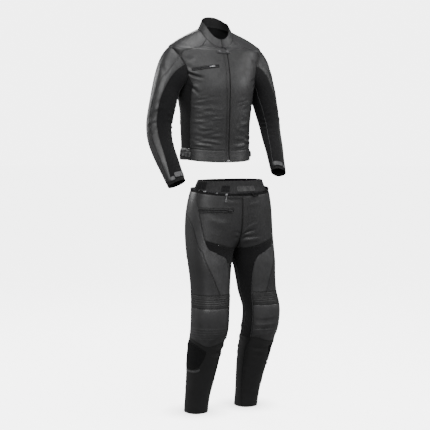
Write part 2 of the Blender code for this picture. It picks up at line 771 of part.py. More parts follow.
def trousers_cloth():
    cloth = Cloth()
    length = LEG[-1][0]
    crotch = LEG[CROTCH_ROW][0]
    knee = KNEE_LOW[0][1]
    above_front = steps(0, ZIP_TAPE, 0.20, by=CLOTH_STEP) + [0.230, 0.250, 0.264, 0.271]
    above_back = steps(0, ZIP_TAPE, 0.20, by=CLOTH_STEP) + [0.217, 0.235, 0.250, 0.264, 0.271]
    below = steps(crotch, knee, length, by=CLOTH_STEP)
    columns = list(np.linspace(RIB_TURNS[0] + 0.02, RIB_TURNS[1] - 0.02, 8))
    top_turns = steps(0, 0.410, SIDE_SEAM, 1, by=0.07)
    hem_turns = steps(0, 0.100, SIDE_SEAM, 1, by=0.10)
    lines = [
        ("edge", "exact", at(top_turns, 0)),
        ("tape", "exact", at(top_turns, ZIP_TAPE)),
        ("edge", "exact", at(hem_turns, length)),
        ("centre", "exact", upright(0, above_front + [crotch])),
        ("centre", "exact", upright(1, above_back + [crotch])),
        ("inseam", "exact", upright(0, [level for level in below if level <= knee])),
        ("inseam", "exact", upright(1, [level for level in below if level <= knee])),
        ("calf middle", "exact", upright(0, [level for level in below if level >= knee])),
        ("calf middle", "exact", upright(1, [level for level in below if level >= knee])),
        ("front", "curved", FRONT_SEAM),
        ("stretch", "curved", STRETCH_TOP),
        ("stretch", "straight", STRETCH_END),
        ("stretch", "curved", STRETCH_LOW),
        ("diagonal", "curved", DIAGONAL_SEAM),
        ("side", "straight", upright(SIDE_SEAM, (ZIP_TAPE, length))),
        ("rib", "exact", at((STRETCH_LOW[5][0], *columns, SIDE_SEAM), RIB_TOP)),
        ("rib", "exact", at((STRETCH_LOW[6][0], *columns, SIDE_SEAM), RIB_LOW)),
        ("knee", "curved", KNEE_LOW),
        ("knee", "curved", KNEE_BACK),
        ("knee", "straight", (KNEE_BACK[-1], (1, knee))),
        ("knee", "straight", ((0, knee), KNEE_LOW[0])),
        ("inner", "curved", INNER_BACK_SEAM),
        ("shin", "curved", SHIN_SEAM),
        ("patch", "curved", (*SLIDER_PATCH, SLIDER_PATCH[0])),
    ]
    ribs = list(np.linspace(RIB_TOP, RIB_LOW, 2 * RIB_COUNT + 1))
    knee_ribs = list(np.linspace(*KNEE_RIBS, 2 * KNEE_RIB_COUNT + 1))
    zones = (
        (columns, ribs),
        (list(np.linspace(*KNEE_RIB_TURNS, 6)), knee_ribs),
        ((0.03, 0.065, 0.10), (0.215, 0.235, 0.255, 0.280, 0.305)),
        ((0.90, 0.935, 0.97), (0.215, 0.235, 0.255, 0.280, 0.305)),
    )
    own = {"left": [box_lines("fly", FLY)], "right": [box_lines("pocket", POCKET)]}
    for side in ("left", "right"):
        mesh = flat_mesh(leg, LEG_GIRTH, (0, 1), (0, length), lines + own[side], zones)
        cloth.add("leg_" + side, leg, mesh, mirror=side == "right", flip=True, relief=rib_relief)
    cloth.finish()
    return cloth


def band(turn, level):
    half_width, front, back, z_side, z_front = read_table(BAND, level)
    along = rounded(np.cos(TAU * turn))
    return np.stack(
        (
            half_width * rounded(np.sin(TAU * turn)),
            BAND_MIDDLE_Y - np.where(along > 0, front, back) * along,
            LEG_TOP + np.where(along > 0, z_side + (z_front - z_side) * np.abs(along), z_side),
        ),
        axis=1,
    )


def band_cloth():
    cloth = Cloth()
    levels = [row[0] for row in BAND]
    depth = levels[-1]
    turns = steps(-0.5, 0.5, by=0.042)
    lines = [
        ("edge", "exact", at(turns, 0)),
        ("edge", "exact", at(turns, depth)),
        ("cut", "exact", upright(0.5, levels)),
        ("cut", "exact", upright(-0.5, levels)),
        box_lines("tab", BAND_TAB),
    ]
    mesh = flat_mesh(band, BAND_GIRTH, (-0.5, 0.5), (0, depth), lines)
    cloth.add("band", band, mesh, flip=True)
    cloth.finish()
    return cloth


# Each piece of cloth: name, tube, a place inside it, lines it stops at, thickness, material
BODY_SEAMS = {"neck", "hem", "armhole", "zip", "waist", "yoke", "side"}
SLEEVE_SEAMS = {"armhole", "strip", "stretch", "piping", "under", "trim", "edge"}
LEG_SEAMS = {
    "edge", "tape", "centre", "inseam", "front", "stretch",
    "diagonal", "side", "rib", "knee", "inner", "shin",
}
ONE_SIDE = {
    "jacket": (
        ("jacket_front", "torso", 0.06, 0.25, BODY_SEAMS, LEATHER, "leather"),
        ("jacket_yoke", "torso", 0.25, 0.60, BODY_SEAMS, LEATHER, "leather"),
        ("jacket_side", "torso", 0.23, 0.15, BODY_SEAMS, STRETCH, "stretch"),
        ("jacket_waistband", "torso", 0.10, 0.02, BODY_SEAMS, LEATHER, "leather"),
        ("sleeve_outer", "sleeve", -0.20, 0.30, SLEEVE_SEAMS, LEATHER, "leather"),
        ("sleeve_strip", "sleeve", 0.10, 0.30, SLEEVE_SEAMS, LEATHER, "leather"),
        ("sleeve_front", "sleeve", 0.25, 0.30, SLEEVE_SEAMS, STRETCH, "stretch"),
        ("sleeve_under", "sleeve", 0.50, 0.30, SLEEVE_SEAMS, STRETCH, "stretch"),
        ("sleeve_cuff", "sleeve", 0.20, 0.541, {"trim", "edge"}, LEATHER, "trim"),
    ),
    "trousers": (
        ("trousers_front", "leg", 0.20, 0.15, LEG_SEAMS, LEATHER, "leather"),
        ("trousers_thigh", "leg", 0.28, 0.36, LEG_SEAMS, LEATHER, "leather"),
        ("trousers_side", "leg", 0.50, 0.25, LEG_SEAMS, LEATHER, "leather"),
        ("trousers_back", "leg", 0.75, 0.30, LEG_SEAMS, LEATHER, "leather"),
        ("trousers_crotch", "leg", 0.08, 0.40, LEG_SEAMS, STRETCH, "stretch"),
        ("trousers_inner_back", "leg", 0.95, 0.45, LEG_SEAMS, STRETCH, "stretch"),
        ("trousers_ribs", "leg", 0.30, 0.49, LEG_SEAMS, LEATHER, "leather"),
        ("trousers_knee", "leg", 0.30, 0.57, LEG_SEAMS, LEATHER, "leather"),
        ("trousers_shin", "leg", 0.25, 0.90, LEG_SEAMS, LEATHER, "leather"),
        ("trousers_calf", "leg", 0.80, 0.85, LEG_SEAMS, LEATHER, "leather"),
    ),
}
SIGN = {"left": 1, "right": -1}


def sew(cloth, rows, looks):
    for name, tube, turn, level, stops, wall, look in rows:
        for side, sign in SIGN.items():
            own_tube = tube if tube == "torso" else f"{tube}_{side}"
            place = sign * turn if tube == "torso" else turn
            faces = cloth.region(own_tube, place, level, stops)
            gap = UNDERARM_GAP if name == "sleeve_under" else SEAM_GAP
            cloth.shell(f"{name}_{side}", faces, -wall, 0.0, looks[look], ribbed=True, gap=gap)


def lay_on(cloth, name, tube, line, turn, level, height, look):
    faces = cloth.region(tube, turn, level, {line})
    cloth.shell(name, faces, ON_TOP, ON_TOP + height, look)


def make_suit():
    looks = {
        "leather": material("leather", (0.045, 0.045, 0.048), 0.42),
        "stretch": material("stretch fabric", (0.014, 0.014, 0.015), 0.92),
        "trim": material("dark trim", (0.012, 0.012, 0.012), 0.80),
        "hook": material("hook and loop", (0.016, 0.016, 0.017), 0.97),
        "metal": material("zip metal", (0.60, 0.60, 0.61), 0.30, 1.0),
    }
    jacket = jacket_cloth()
    sew(jacket, ONE_SIDE["jacket"], looks)
    for name, turn, level, stops in (
        ("jacket_back", 0.45, 0.30, BODY_SEAMS),
        ("jacket_waistband_back", 0.45, 0.02, BODY_SEAMS),
        ("jacket_zip", 0.0, 0.30, {"zip", "neck", "hem"}),
    ):
        faces = jacket.region("torso", turn, level, stops)
        jacket.shell(name, faces, -LEATHER, 0.0, looks["leather"], ribbed=True)
    faces = jacket.region("collar", 0.45, 0.02, {"neck", "edge", "front"})
    jacket.shell("jacket_collar", faces, -COLLAR, 0.0, looks["leather"], gap=COLLAR_GAP)
    lay_on(jacket, "jacket_throat_tab", "torso", "throat", 0.0, 0.494, 0.0020, looks["leather"])
    lay_on(jacket, "jacket_chest_zip", "torso", "chest", -0.08, 0.409, 0.0016, looks["trim"])
    for side in SIGN:
        lay_on(jacket, f"sleeve_tab_{side}", "sleeve_" + side, "tab", 0.3, 0.520, 0.0018, looks["leather"])

    trousers = trousers_cloth()
    trousers.points = trousers.points + np.array(TROUSERS_SHIFT)
    sew(trousers, ONE_SIDE["trousers"], looks)
    faces = trousers.region("leg_left", 0.3, 0.008, {"edge", "tape"})
    trousers.shell("trousers_zip_tape", faces, -LEATHER, 0.0, looks["trim"])
    for side in SIGN:
        name = f"trousers_patch_{side}"
        lay_on(trousers, name, "leg_" + side, "patch", 0.45, 0.74, 0.0022, looks["hook"])
    lay_on(trousers, "trousers_fly", "leg_left", "fly", 0.02, 0.10, 0.0016, looks["leather"])
    lay_on(trousers, "trousers_pocket", "leg_right", "pocket", 0.20, 0.090, 0.0016, looks["trim"])

    waist = band_cloth()
    waist.points = waist.points + np.array(TROUSERS_SHIFT)
    faces = waist.region("band", 0.3, 0.04, {"edge"})
    waist.shell("trousers_waistband", faces, -BAND_WALL, 0.0, looks["trim"])
    lay_on(waist, "trousers_waist_tab", "band", "tab", 0.02, 0.04, 0.0020, looks["leather"])
    hard_parts(looks)


def frame_on(surface, turn, level, mirror=False, shift=(0, 0, 0)):
    """A place on the cloth, and its directions along the turn, along the level and outwards."""
    small = 0.002
    turns = np.array([turn, turn + small, turn - small, turn, turn])
    levels = np.array([level, level, level, level + small, level - small])
    points = surface(turns, levels) * [-1 if mirror else 1, 1, 1] + np.array(shift)
    along = Vector(points[1] - points[2]).normalized()
    down = Vector(points[3] - points[4]).normalized()
    out = along.cross(down).normalized()
    middle = Vector((0, 0.01, points[0][2]))
    if out.dot(Vector(points[0]) - middle - Vector(shift)) < 0:
        out = -out
    return Vector(points[0]), along, down, out


def set_on(shape, origin, x_axis, out):
    """Turns a piece so that its own X lies along x_axis and its own Z points out of the cloth."""
    x_axis = (x_axis - out * x_axis.dot(out)).normalized()
    turned = Matrix((x_axis, out.cross(x_axis), out)).transposed().to_4x4()
    shape.matrix_world = Matrix.Translation(origin) @ turned


def finished(name, build, look):
    mesh = bpy.data.meshes.new(name)
    build.to_mesh(mesh)
    build.free()
    mesh.materials.append(look)
    shape = bpy.data.objects.new(name, mesh)
    bpy.context.collection.objects.link(shape)
    return shape


def plate(name, size, look, below=0.0):
    """A small plate with rounded corners. X runs from its end, and Z from below its origin up."""
    build = bmesh.new()
    bmesh.ops.create_cube(build, size=1.0)
    bmesh.ops.scale(build, vec=size, verts=build.verts)
    bmesh.ops.translate(build, vec=(size[0] / 2, 0, size[2] / 2 - below), verts=build.verts)
    corners = [
        edge for edge in build.edges if abs(edge.verts[0].co.z - edge.verts[1].co.z) > size[2] / 2
    ]
    bevel = min(size[:2]) * CORNER_SHARE
    bmesh.ops.bevel(build, geom=corners, offset=bevel, segments=3, affect="EDGES")
    bmesh.ops.recalc_face_normals(build, faces=build.faces)
    return finished(name, build, look)


def pull(name, size, look):
    """A pull tab that turns about the middle of its end."""
    return plate(name, size, look, below=size[2] / 2)


def snap(name, look):
    build = bmesh.new()
    bmesh.ops.create_cone(
        build,
        cap_ends=True,
        segments=16,
        radius1=SNAP_RADIUS,
        radius2=SNAP_TOP_SHARE * SNAP_RADIUS,
        depth=SNAP_HEIGHT,
    )
    bmesh.ops.translate(build, vec=(0, 0, SNAP_HEIGHT / 2), verts=build.verts)
    return finished(name, build, look)


def hard_parts(looks):
    metal = looks["metal"]
    for number, (turn, level) in enumerate(SNAPS, 1):
        point, along, _, out = frame_on(torso, turn, level)
        cap = snap(f"jacket_snap_{number}", looks["trim"])
        set_on(cap, point + out * SNAP_LIFT, along, out)

    point, _, up, out = frame_on(torso, *ZIP_BOX_AT)
    set_on(plate("jacket_zip_box", ZIP_BOX, metal), point + out * ON_TOP, up, out)

    point, _, _, out = frame_on(torso, *CHEST_PULL_AT)
    way = Vector(torso(*np.array(CHEST_PULL_TO)[:, None])[0]) - point
    set_on(pull("jacket_chest_pull", PULL, metal), point + out * PULL_LIFT, way, out)

    point, _, down, out = frame_on(leg, *TOP_SLIDER_AT, mirror=True, shift=TROUSERS_SHIFT)
    set_on(plate("trousers_zip_slider", SLIDER, metal), point + out * ON_TOP, down, out)
    pull_at = point + down * (SLIDER[0] + TURNING_GAP)
    set_on(pull("trousers_zip_pull", PULL, metal), pull_at + out * ZIP_PULL_LIFT, down, out)

    point, along, _, out = frame_on(leg, *POCKET_PULL_AT, mirror=True, shift=TROUSERS_SHIFT)
    tab = pull("trousers_pocket_pull", POCKET_PULL, looks["trim"])
    set_on(tab, point + out * PULL_LIFT, along, out)


make_suit()
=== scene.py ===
import math
from functools import partial

import bmesh
import bpy
import numpy as np
from mathutils import Matrix, Vector
from mathutils.bvhtree import BVHTree
from mathutils.geometry import delaunay_2d_cdt
from mathutils.kdtree import KDTree


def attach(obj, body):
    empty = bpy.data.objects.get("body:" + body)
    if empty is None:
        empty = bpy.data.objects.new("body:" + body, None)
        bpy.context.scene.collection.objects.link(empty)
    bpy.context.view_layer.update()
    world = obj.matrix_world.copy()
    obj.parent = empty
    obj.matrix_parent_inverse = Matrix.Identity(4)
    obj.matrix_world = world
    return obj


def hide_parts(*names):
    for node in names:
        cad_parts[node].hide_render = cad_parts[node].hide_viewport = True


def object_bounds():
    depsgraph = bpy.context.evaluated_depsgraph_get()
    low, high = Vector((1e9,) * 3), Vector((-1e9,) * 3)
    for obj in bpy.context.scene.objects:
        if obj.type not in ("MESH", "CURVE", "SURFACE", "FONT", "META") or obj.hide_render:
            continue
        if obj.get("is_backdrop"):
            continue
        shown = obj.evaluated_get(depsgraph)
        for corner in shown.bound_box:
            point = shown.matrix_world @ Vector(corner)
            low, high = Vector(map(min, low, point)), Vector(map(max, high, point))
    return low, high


# Two-piece motorcycle suit in leather and stretch fabric, filled out as on a wearer.
# Cloth is drawn flat as (turn, level) on a tube, cut along its seams, wrapped and creased.

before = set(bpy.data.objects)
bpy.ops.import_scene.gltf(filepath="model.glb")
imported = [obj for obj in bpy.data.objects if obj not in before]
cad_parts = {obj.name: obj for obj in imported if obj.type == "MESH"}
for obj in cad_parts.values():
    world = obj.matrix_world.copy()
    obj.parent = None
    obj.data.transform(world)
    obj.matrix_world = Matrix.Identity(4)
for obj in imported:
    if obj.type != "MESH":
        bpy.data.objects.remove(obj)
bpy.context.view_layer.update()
tau = 2 * math.pi
clothStep = 0.0050  # space between the points of a piece of cloth
print("frame loaded,", len(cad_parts), "nodes")

cameraSetup = {
    "azimuth": -29.0,
    "distance": 5.0,
    "height": -0.386,
    "aimHeight": -0.793,
    "lens": 94.2,
    "sensor": 36.0,
}


def makeCamera(setup):
    turn = math.radians(setup["azimuth"])
    data = bpy.data.cameras.new("camera")
    data.lens, data.sensor_width = setup["lens"], setup["sensor"]
    camera = bpy.data.objects.new("camera", data)
    camera.location = (
        math.sin(turn) * setup["distance"],
        -math.cos(turn) * setup["distance"],
        setup["height"],
    )
    aim = Vector((0, 0, setup["aimHeight"])) - camera.location
    camera.rotation_euler = aim.to_track_quat("-Z", "Y").to_euler()
    bpy.context.scene.collection.objects.link(camera)
    bpy.context.scene.camera = camera


makeCamera(cameraSetup)


# Shader maths as plain expressions


class Sock:
    def __init__(self, graph, socket):
        self.graph, self.socket = graph, socket

    def maths(self, operation, *values):
        return self.graph.node("ShaderNodeMath", {"operation": operation}, *values)

    def __add__(self, other):
        return self.maths("ADD", self, other)

    def __sub__(self, other):
        return self.maths("SUBTRACT", self, other)

    def __rsub__(self, other):
        return self.maths("SUBTRACT", other, self)

    def __mul__(self, other):
        return self.maths("MULTIPLY", self, other)

    def __pow__(self, other):
        return self.maths("POWER", self, other)

    __radd__ = __add__
    __rmul__ = __mul__

    def sine(self):
        return self.maths("SINE", self)

    def between(self, low, high, start=0.0, end=1.0):
        return self.graph.node("ShaderNodeMapRange", {"clamp": True}, self, low, high, start, end)


class Graph:
    def __init__(self, name, **constants):
        self.material = bpy.data.materials.new(name)
        self.material.use_nodes = True
        self.tree = self.material.node_tree
        self.shader = self.tree.nodes["Principled BSDF"]
        for socket, value in constants.items():
            self.shader.inputs[socket.replace("_", " ")].default_value = value

    def node(self, kind, settings, *values, out=0, **named):
        made = self.tree.nodes.new(kind)
        for setting, value in settings.items():
            setattr(made, setting, value)
        for place, value in [*enumerate(values), *named.items()]:
            if isinstance(value, Sock):
                self.tree.links.new(value.socket, made.inputs[place])
            elif value is not None:
                made.inputs[place].default_value = value
        return Sock(self, made.outputs[out])

    def at(self, kind="Object"):
        return self.node("ShaderNodeTexCoord", {}, out=kind)

    def noise(self, at, scale, detail=3.0, rough=0.5):
        return self.node("ShaderNodeTexNoise", {}, Vector=at, Scale=scale, Detail=detail, Roughness=rough)

    def cells(self, at, scale, feature="F1"):
        return self.node("ShaderNodeTexVoronoi", {"feature": feature}, Vector=at, Scale=scale)

    def axis(self, at, letter):
        return self.node("ShaderNodeSeparateXYZ", {}, at, out=letter)

    def stretched(self, at, x, y, z):
        return self.node("ShaderNodeMapping", {}, Vector=at, Scale=(x, y, z))

    def mix(self, factor, first, second):
        colours = [(*colour, 1.0) if isinstance(colour, tuple) else colour for colour in (first, second)]
        return self.node("ShaderNodeMix", {"data_type": "RGBA"}, factor, *[None] * 5, *colours, out=2)

    def feed(self, **sockets):
        for socket, value in sockets.items():
            self.tree.links.new(value.socket, self.shader.inputs[socket.replace("_", " ")])

    def bump(self, height, depth, under=None):
        return self.node("ShaderNodeBump", {}, Strength=1.0, Distance=depth, Height=height, Normal=under)


leatherLook = {
    "dark": (0.0125, 0.0125, 0.0132),
    "light": (0.0240, 0.0240, 0.0250),
    # worn: colour of the fold and rib crests, rubbed wear with a painted highlight
    "worn": (0.0400, 0.0400, 0.0410),
    # seam: colour of the painted shade along the seam grooves and in the fold troughs
    "seam": (0.0022, 0.0022, 0.0024),
    "roughness": (0.40, 0.56),
    "grainScale": 760.0,
    "grainDepth": 0.00022,
    "creaseScale": 95.0,
    "creaseDepth": 0.00045,
}


def leatherMaterial(look, name="leather"):
    graph = Graph(name, Specular_IOR_Level=0.55, Coat_Weight=0.10, Coat_Roughness=0.32)
    at = graph.at()
    wide = graph.noise(at, 7.0, 4.0)
    patches = graph.noise(at, 38.0, 4.0, 0.6)
    grain = graph.cells(at, look["grainScale"], "SMOOTH_F1")
    pebble = graph.noise(at, look["creaseScale"], 5.0, 0.62)
    pores = graph.noise(at, 1900.0, 2.0)
    worn = (wide * 0.6 + patches * 0.4).between(0.40, 0.62)
    # fold and rib crests turned lighter: rubbed wear with a painted highlight
    ridge = graph.node("ShaderNodeAttribute", {"attribute_name": "ridge"}, out="Fac")
    # painted shade: colour darkened along the seam grooves and in the fold troughs
    hollow = graph.node("ShaderNodeAttribute", {"attribute_name": "hollow"}, out="Fac")
    plain = graph.mix(worn, look["dark"], look["light"])
    rubbedAndLit = graph.mix((ridge * patches).between(0.20, 1.6), plain, look["worn"])
    smooth, rough = look["roughness"]
    graph.feed(
        Base_Color=graph.mix(hollow, rubbedAndLit, look["seam"]),
        Roughness=(patches * 0.5 + wide * 0.5).between(0.38, 0.62, rough, smooth),
    )
    soft = graph.bump(pebble, look["creaseDepth"])
    graph.feed(Normal=graph.bump(grain * 0.8 + pores * 0.2, look["grainDepth"], soft))
    return graph.material


def suedeMaterial():
    graph = Graph("leather flesh side", Specular_IOR_Level=0.2)
    at = graph.at()
    nap = graph.noise(at, 420.0, 4.0, 0.7)
    graph.feed(
        Base_Color=graph.mix(graph.noise(at, 26.0), (0.012, 0.012, 0.012), (0.024, 0.024, 0.025)),
        Roughness=nap.between(0.3, 0.7, 0.86, 0.98),
        Normal=graph.bump(nap, 0.0003),
    )
    return graph.material


stretchLook = {
    "dark": (0.0070, 0.0070, 0.0074),
    "light": (0.0140, 0.0140, 0.0148),
    "yarn": 0.0011,
    "depth": 0.00022,
}


def stretchMaterial(look):
    # woven stretch fabric, a fine twill seen on the cloth's own drawing
    graph = Graph("stretch fabric", Specular_IOR_Level=0.12, Sheen_Weight=0.06, Sheen_Roughness=0.5)
    drawn = graph.at("UV")
    across, down = graph.axis(drawn, "X"), graph.axis(drawn, "Y")
    turn = tau / look["yarn"]
    weft = ((across + down) * turn).sine()
    warp = ((across - down * 0.5) * (turn * 0.5)).sine()
    weave = (weft * 0.6 + warp * 0.4).between(-1.0, 1.0)
    lint = graph.noise(graph.at(), 55.0, 4.0, 0.65)
    graph.feed(
        Base_Color=graph.mix(weave * 0.55 + lint * 0.45, look["dark"], look["light"]),
        Roughness=lint.between(0.3, 0.7, 0.80, 0.96),
        Normal=graph.bump(weave, look["depth"]),
    )
    return graph.material


def webbingMaterial(name, dark, light, pitch):
    # ribbed tape, binding and zip tape
    graph = Graph(name, Specular_IOR_Level=0.3)
    drawn = graph.at("UV")
    lengthways = (graph.axis(drawn, "Y") * (tau / pitch)).sine()
    crossways = (graph.axis(drawn, "X") * (tau / pitch)).sine()
    rib = lengthways * 0.5 + crossways * 0.5
    wear = graph.noise(graph.at(), 70.0, 3.0)
    graph.feed(
        Base_Color=graph.mix(rib.between(-1.0, 1.0) * 0.5 + wear * 0.5, dark, light),
        Roughness=wear.between(0.3, 0.7, 0.72, 0.92),
        Normal=graph.bump(rib, 0.0002),
    )
    return graph.material


def hookMaterial():
    graph = Graph("hook and loop", Specular_IOR_Level=0.15)
    at = graph.at()
    loops = graph.cells(at, 620.0)
    fuzz = graph.noise(at, 900.0, 4.0, 0.75)
    graph.feed(
        Base_Color=graph.mix(loops * 0.6 + fuzz * 0.4, (0.0070, 0.0070, 0.0074), (0.0180, 0.0180, 0.0188)),
        Roughness=fuzz.between(0.3, 0.7, 0.88, 1.0),
        Normal=graph.bump(loops * 0.5 + fuzz * 0.5, 0.0009),
    )
    return graph.material


def metalMaterial(name, colour, roughness):
    graph = Graph(name, Metallic=1.0)
    at = graph.at()
    brushed = graph.noise(graph.stretched(at, 900.0, 160.0, 900.0), 1.0, 3.0)
    dull = graph.noise(at, 210.0, 3.0)
    graph.feed(
        Base_Color=graph.mix(dull, tuple(0.7 * part for part in colour), colour),
        Roughness=(brushed * 0.5 + dull * 0.5).between(0.3, 0.7, roughness - 0.08, roughness + 0.14),
        Normal=graph.bump(brushed, 0.00004),
    )
    return graph.material


def threadMaterial():
    graph = Graph("thread", Specular_IOR_Level=0.4)
    at = graph.at()
    twist = graph.noise(at, 1600.0, 2.0)
    graph.feed(
        Base_Color=graph.mix(twist, (0.006, 0.006, 0.0064), (0.018, 0.018, 0.019)),
        Roughness=twist.between(0.3, 0.7, 0.45, 0.70),
    )
    return graph.material


def leatherLike(name, **changes):
    return leatherMaterial({**leatherLook, **changes}, name)


finishes = {
    "leather": leatherMaterial(leatherLook),
    "suede": suedeMaterial(),
    "stretch": stretchMaterial(stretchLook),
    "trim": webbingMaterial("dark trim", (0.003, 0.003, 0.003), (0.009, 0.009, 0.0095), 0.0016),
    "band": webbingMaterial("waistband", (0.016, 0.016, 0.0165), (0.032, 0.032, 0.033), 0.0030),
    "hook": hookMaterial(),
    "metal": metalMaterial("zip metal", (0.34, 0.34, 0.35), 0.38),
    "teeth": metalMaterial("zip teeth", (0.055, 0.055, 0.058), 0.46),
    "thread": threadMaterial(),
    "tab": leatherLike("tab leather", dark=(0.045, 0.045, 0.047), light=(0.075, 0.075, 0.078)),
    "piping": webbingMaterial("piping", (0.040, 0.040, 0.041), (0.075, 0.075, 0.077), 0.0012),
    # darker copy of the leather: painted shade on the rib panel; the zip lips, pocket welts and waist flap take it
    # too
    "ribbed": leatherLike(
        "ribbed leather", dark=(0.0050, 0.0050, 0.0053), light=(0.0095, 0.0095, 0.0100),
        worn=(0.009, 0.009, 0.0094), roughness=(0.62, 0.80),
    ),
    # darker copy of the leather: painted shade on the shin and calf pieces
    "lower": leatherLike(
        "lower leg leather", dark=(0.0066, 0.0066, 0.0070), light=(0.0125, 0.0125, 0.0131),
        worn=(0.026, 0.026, 0.027),
    ),
    # lighter and glossier copy of the leather: painted highlight on the thigh and knee pieces
    "rubbedAndLit": leatherLike(
        "rubbed leather", dark=(0.0240, 0.0240, 0.0250), light=(0.0480, 0.0480, 0.0495),
        worn=(0.062, 0.062, 0.0640), roughness=(0.34, 0.47),
    ),
    "snap": metalMaterial("dark metal", (0.140, 0.140, 0.145), 0.40),
}
print("materials made")


# Sections of the body, sleeves and legs, as the solids have them

torsoForm = {
    # length of cloth above the hem: half width, front, back, then height at front, side and back
    "rows": (
        (0.000, 0.161, 0.119, 0.108, -0.556, -0.543, -0.551),
        (0.048, 0.158, 0.114, 0.103, -0.508, -0.496, -0.503),
        (0.140, 0.161, 0.117, 0.103, -0.413, -0.405, -0.409),
        (0.240, 0.169, 0.122, 0.107, -0.312, -0.306, -0.309),
        (0.330, 0.183, 0.124, 0.111, -0.224, -0.220, -0.219),
        (0.410, 0.201, 0.113, 0.110, -0.147, -0.143, -0.140),
        (0.470, 0.217, 0.096, 0.102, -0.094, -0.087, -0.082),
        (0.505, 0.224, 0.086, 0.092, -0.070, -0.057, -0.050),
        (0.545, 0.195, 0.078, 0.081, -0.062, -0.034, -0.020),
        (0.600, 0.145, 0.072, 0.070, -0.059, -0.007, 0.012),
        (0.665, 0.079, 0.066, 0.058, -0.058, 0.020, 0.040),
    ),
    "armholeTurns": 0.085,
    "armholeLow": 0.318,
    "armholeHigh": 0.508,
    "girth": 1.05,
    "collarTop": (0.0600, 0.058, 0.050, -0.021, 0.053, 0.084),
    "collarHeight": 0.042,
    "collarGirth": 0.40,
}
sleeveForm = {
    # length below the armhole: centre, half widths of the oval, and its turn in degrees
    "rows": (
        (0.140, 0.248, 0.001, -0.262, 0.060, 0.055, 15),
        (0.210, 0.264, -0.001, -0.322, 0.058, 0.049, 24),
        (0.280, 0.278, -0.004, -0.388, 0.056, 0.044, 29),
        (0.350, 0.280, -0.022, -0.452, 0.053, 0.039, 29),
        (0.430, 0.272, -0.063, -0.523, 0.048, 0.034, 29),
        (0.500, 0.262, -0.100, -0.582, 0.043, 0.030, 29),
        (0.548, 0.254, -0.125, -0.622, 0.040, 0.028, 29),
    ),
    "drop": {"right": 0.020, "left": -0.018},
    "underarmRound": 0.075,
    "girth": 0.34,
}
legForm = {
    # length below the top: centre, half width, centre, front and back
    "rows": (
        (0.000, 0.000, 0.183, 0.008, 0.113, 0.112),
        (0.060, 0.010, 0.187, 0.012, 0.118, 0.118),
        (0.120, 0.028, 0.176, 0.014, 0.120, 0.126),
        (0.180, 0.056, 0.150, 0.013, 0.117, 0.126),
        (0.230, 0.083, 0.124, 0.009, 0.110, 0.118),
        (0.275, 0.104, 0.104, 0.002, 0.102, 0.106),
        (0.330, 0.112, 0.095, -0.010, 0.096, 0.097),
        (0.400, 0.116, 0.087, -0.020, 0.090, 0.090),
        (0.470, 0.121, 0.083, -0.029, 0.087, 0.085),
        (0.540, 0.131, 0.081, -0.044, 0.087, 0.080),
        (0.630, 0.130, 0.080, -0.034, 0.085, 0.081),
        (0.710, 0.130, 0.074, 0.000, 0.079, 0.078),
        (0.800, 0.130, 0.067, 0.029, 0.072, 0.072),
        (0.880, 0.130, 0.059, 0.053, 0.065, 0.064),
        (0.950, 0.131, 0.053, 0.074, 0.058, 0.058),
        (1.018, 0.131, 0.051, 0.089, 0.056, 0.056),
    ),
    "top": -0.668,
    "frontDrop": 0.022,
    "dropReach": 0.1,
    "sideways": 0.061,
    "forward": 0.034,
    "crotch": 0.275,
    "girth": 0.56,
}
bandForm = {
    # length below the waistband's own edge: half width, front, back, height at side and front
    "rows": (
        (0.000, 0.152, 0.093, 0.099, 0.033, 0.032),
        (0.030, 0.166, 0.097, 0.106, 0.001, -0.001),
        (0.068, 0.1876, 0.1080, 0.1176, -0.037, -0.038),
    ),
    "forward": 0.006,
    "girth": 0.86,
}
roundness = 2.25  # 2 is an ellipse, and more is boxier
girths = {
    "torso": torsoForm["girth"], "collar": torsoForm["collarGirth"], "band": bandForm["girth"],
    "sleeve": sleeveForm["girth"], "leg": legForm["girth"],
}


def readTable(rows, level):
    rows = np.array(rows)
    level = np.clip(np.asarray(level, float), rows[0, 0], rows[-1, 0])
    place, values = rows[:, 0], rows[:, 1:]
    slope = np.gradient(values, place, axis=0)
    row = np.clip(np.searchsorted(place, level) - 1, 0, len(place) - 2)
    step = (place[row + 1] - place[row])[:, None]
    part = (level - place[row])[:, None] / step
    rest = 1 - part
    return (
        (1 + 2 * part) * rest**2 * values[row]
        + (1 + 2 * rest) * part**2 * values[row + 1]
        + part * rest * step * (rest * slope[row] - part * slope[row + 1])
    ).T


def rounded(wave):
    return np.sign(wave) * np.abs(wave) ** (2 / roundness)


def unit(vectors):
    return vectors / np.maximum(np.linalg.norm(vectors, axis=1, keepdims=True), 1e-12)


def ovalAt(turn, halfWidth, front, back, zFront, zSide, zBack):
    along = rounded(np.cos(tau * turn))
    ahead = along > 0
    lift = np.where(ahead, zFront, zBack) - zSide
    return np.stack(
        (
            halfWidth * rounded(np.sin(tau * turn)),
            -np.where(ahead, front, back) * along,
            zSide + lift * np.abs(along) ** 1.5,
        ),
        axis=1,
    )


def torsoAt(turn, level):
    return ovalAt(turn, *readTable(torsoForm["rows"], level))


def armholeAt(turn):
    low, high = torsoForm["armholeLow"], torsoForm["armholeHigh"]
    egg = 1 - 0.15 * np.cos(tau * turn)
    return (
        0.25 - torsoForm["armholeTurns"] * egg * np.sin(tau * turn),
        (high + low) / 2 + (high - low) / 2 * np.cos(tau * turn),
    )


def collarAt(turn, level):
    edge = ovalAt(turn, *torsoForm["collarTop"])
    base = torsoAt(turn, np.full_like(turn, torsoForm["rows"][-1][0]))
    return base + (edge - base) * level[:, None] / torsoForm["collarHeight"]


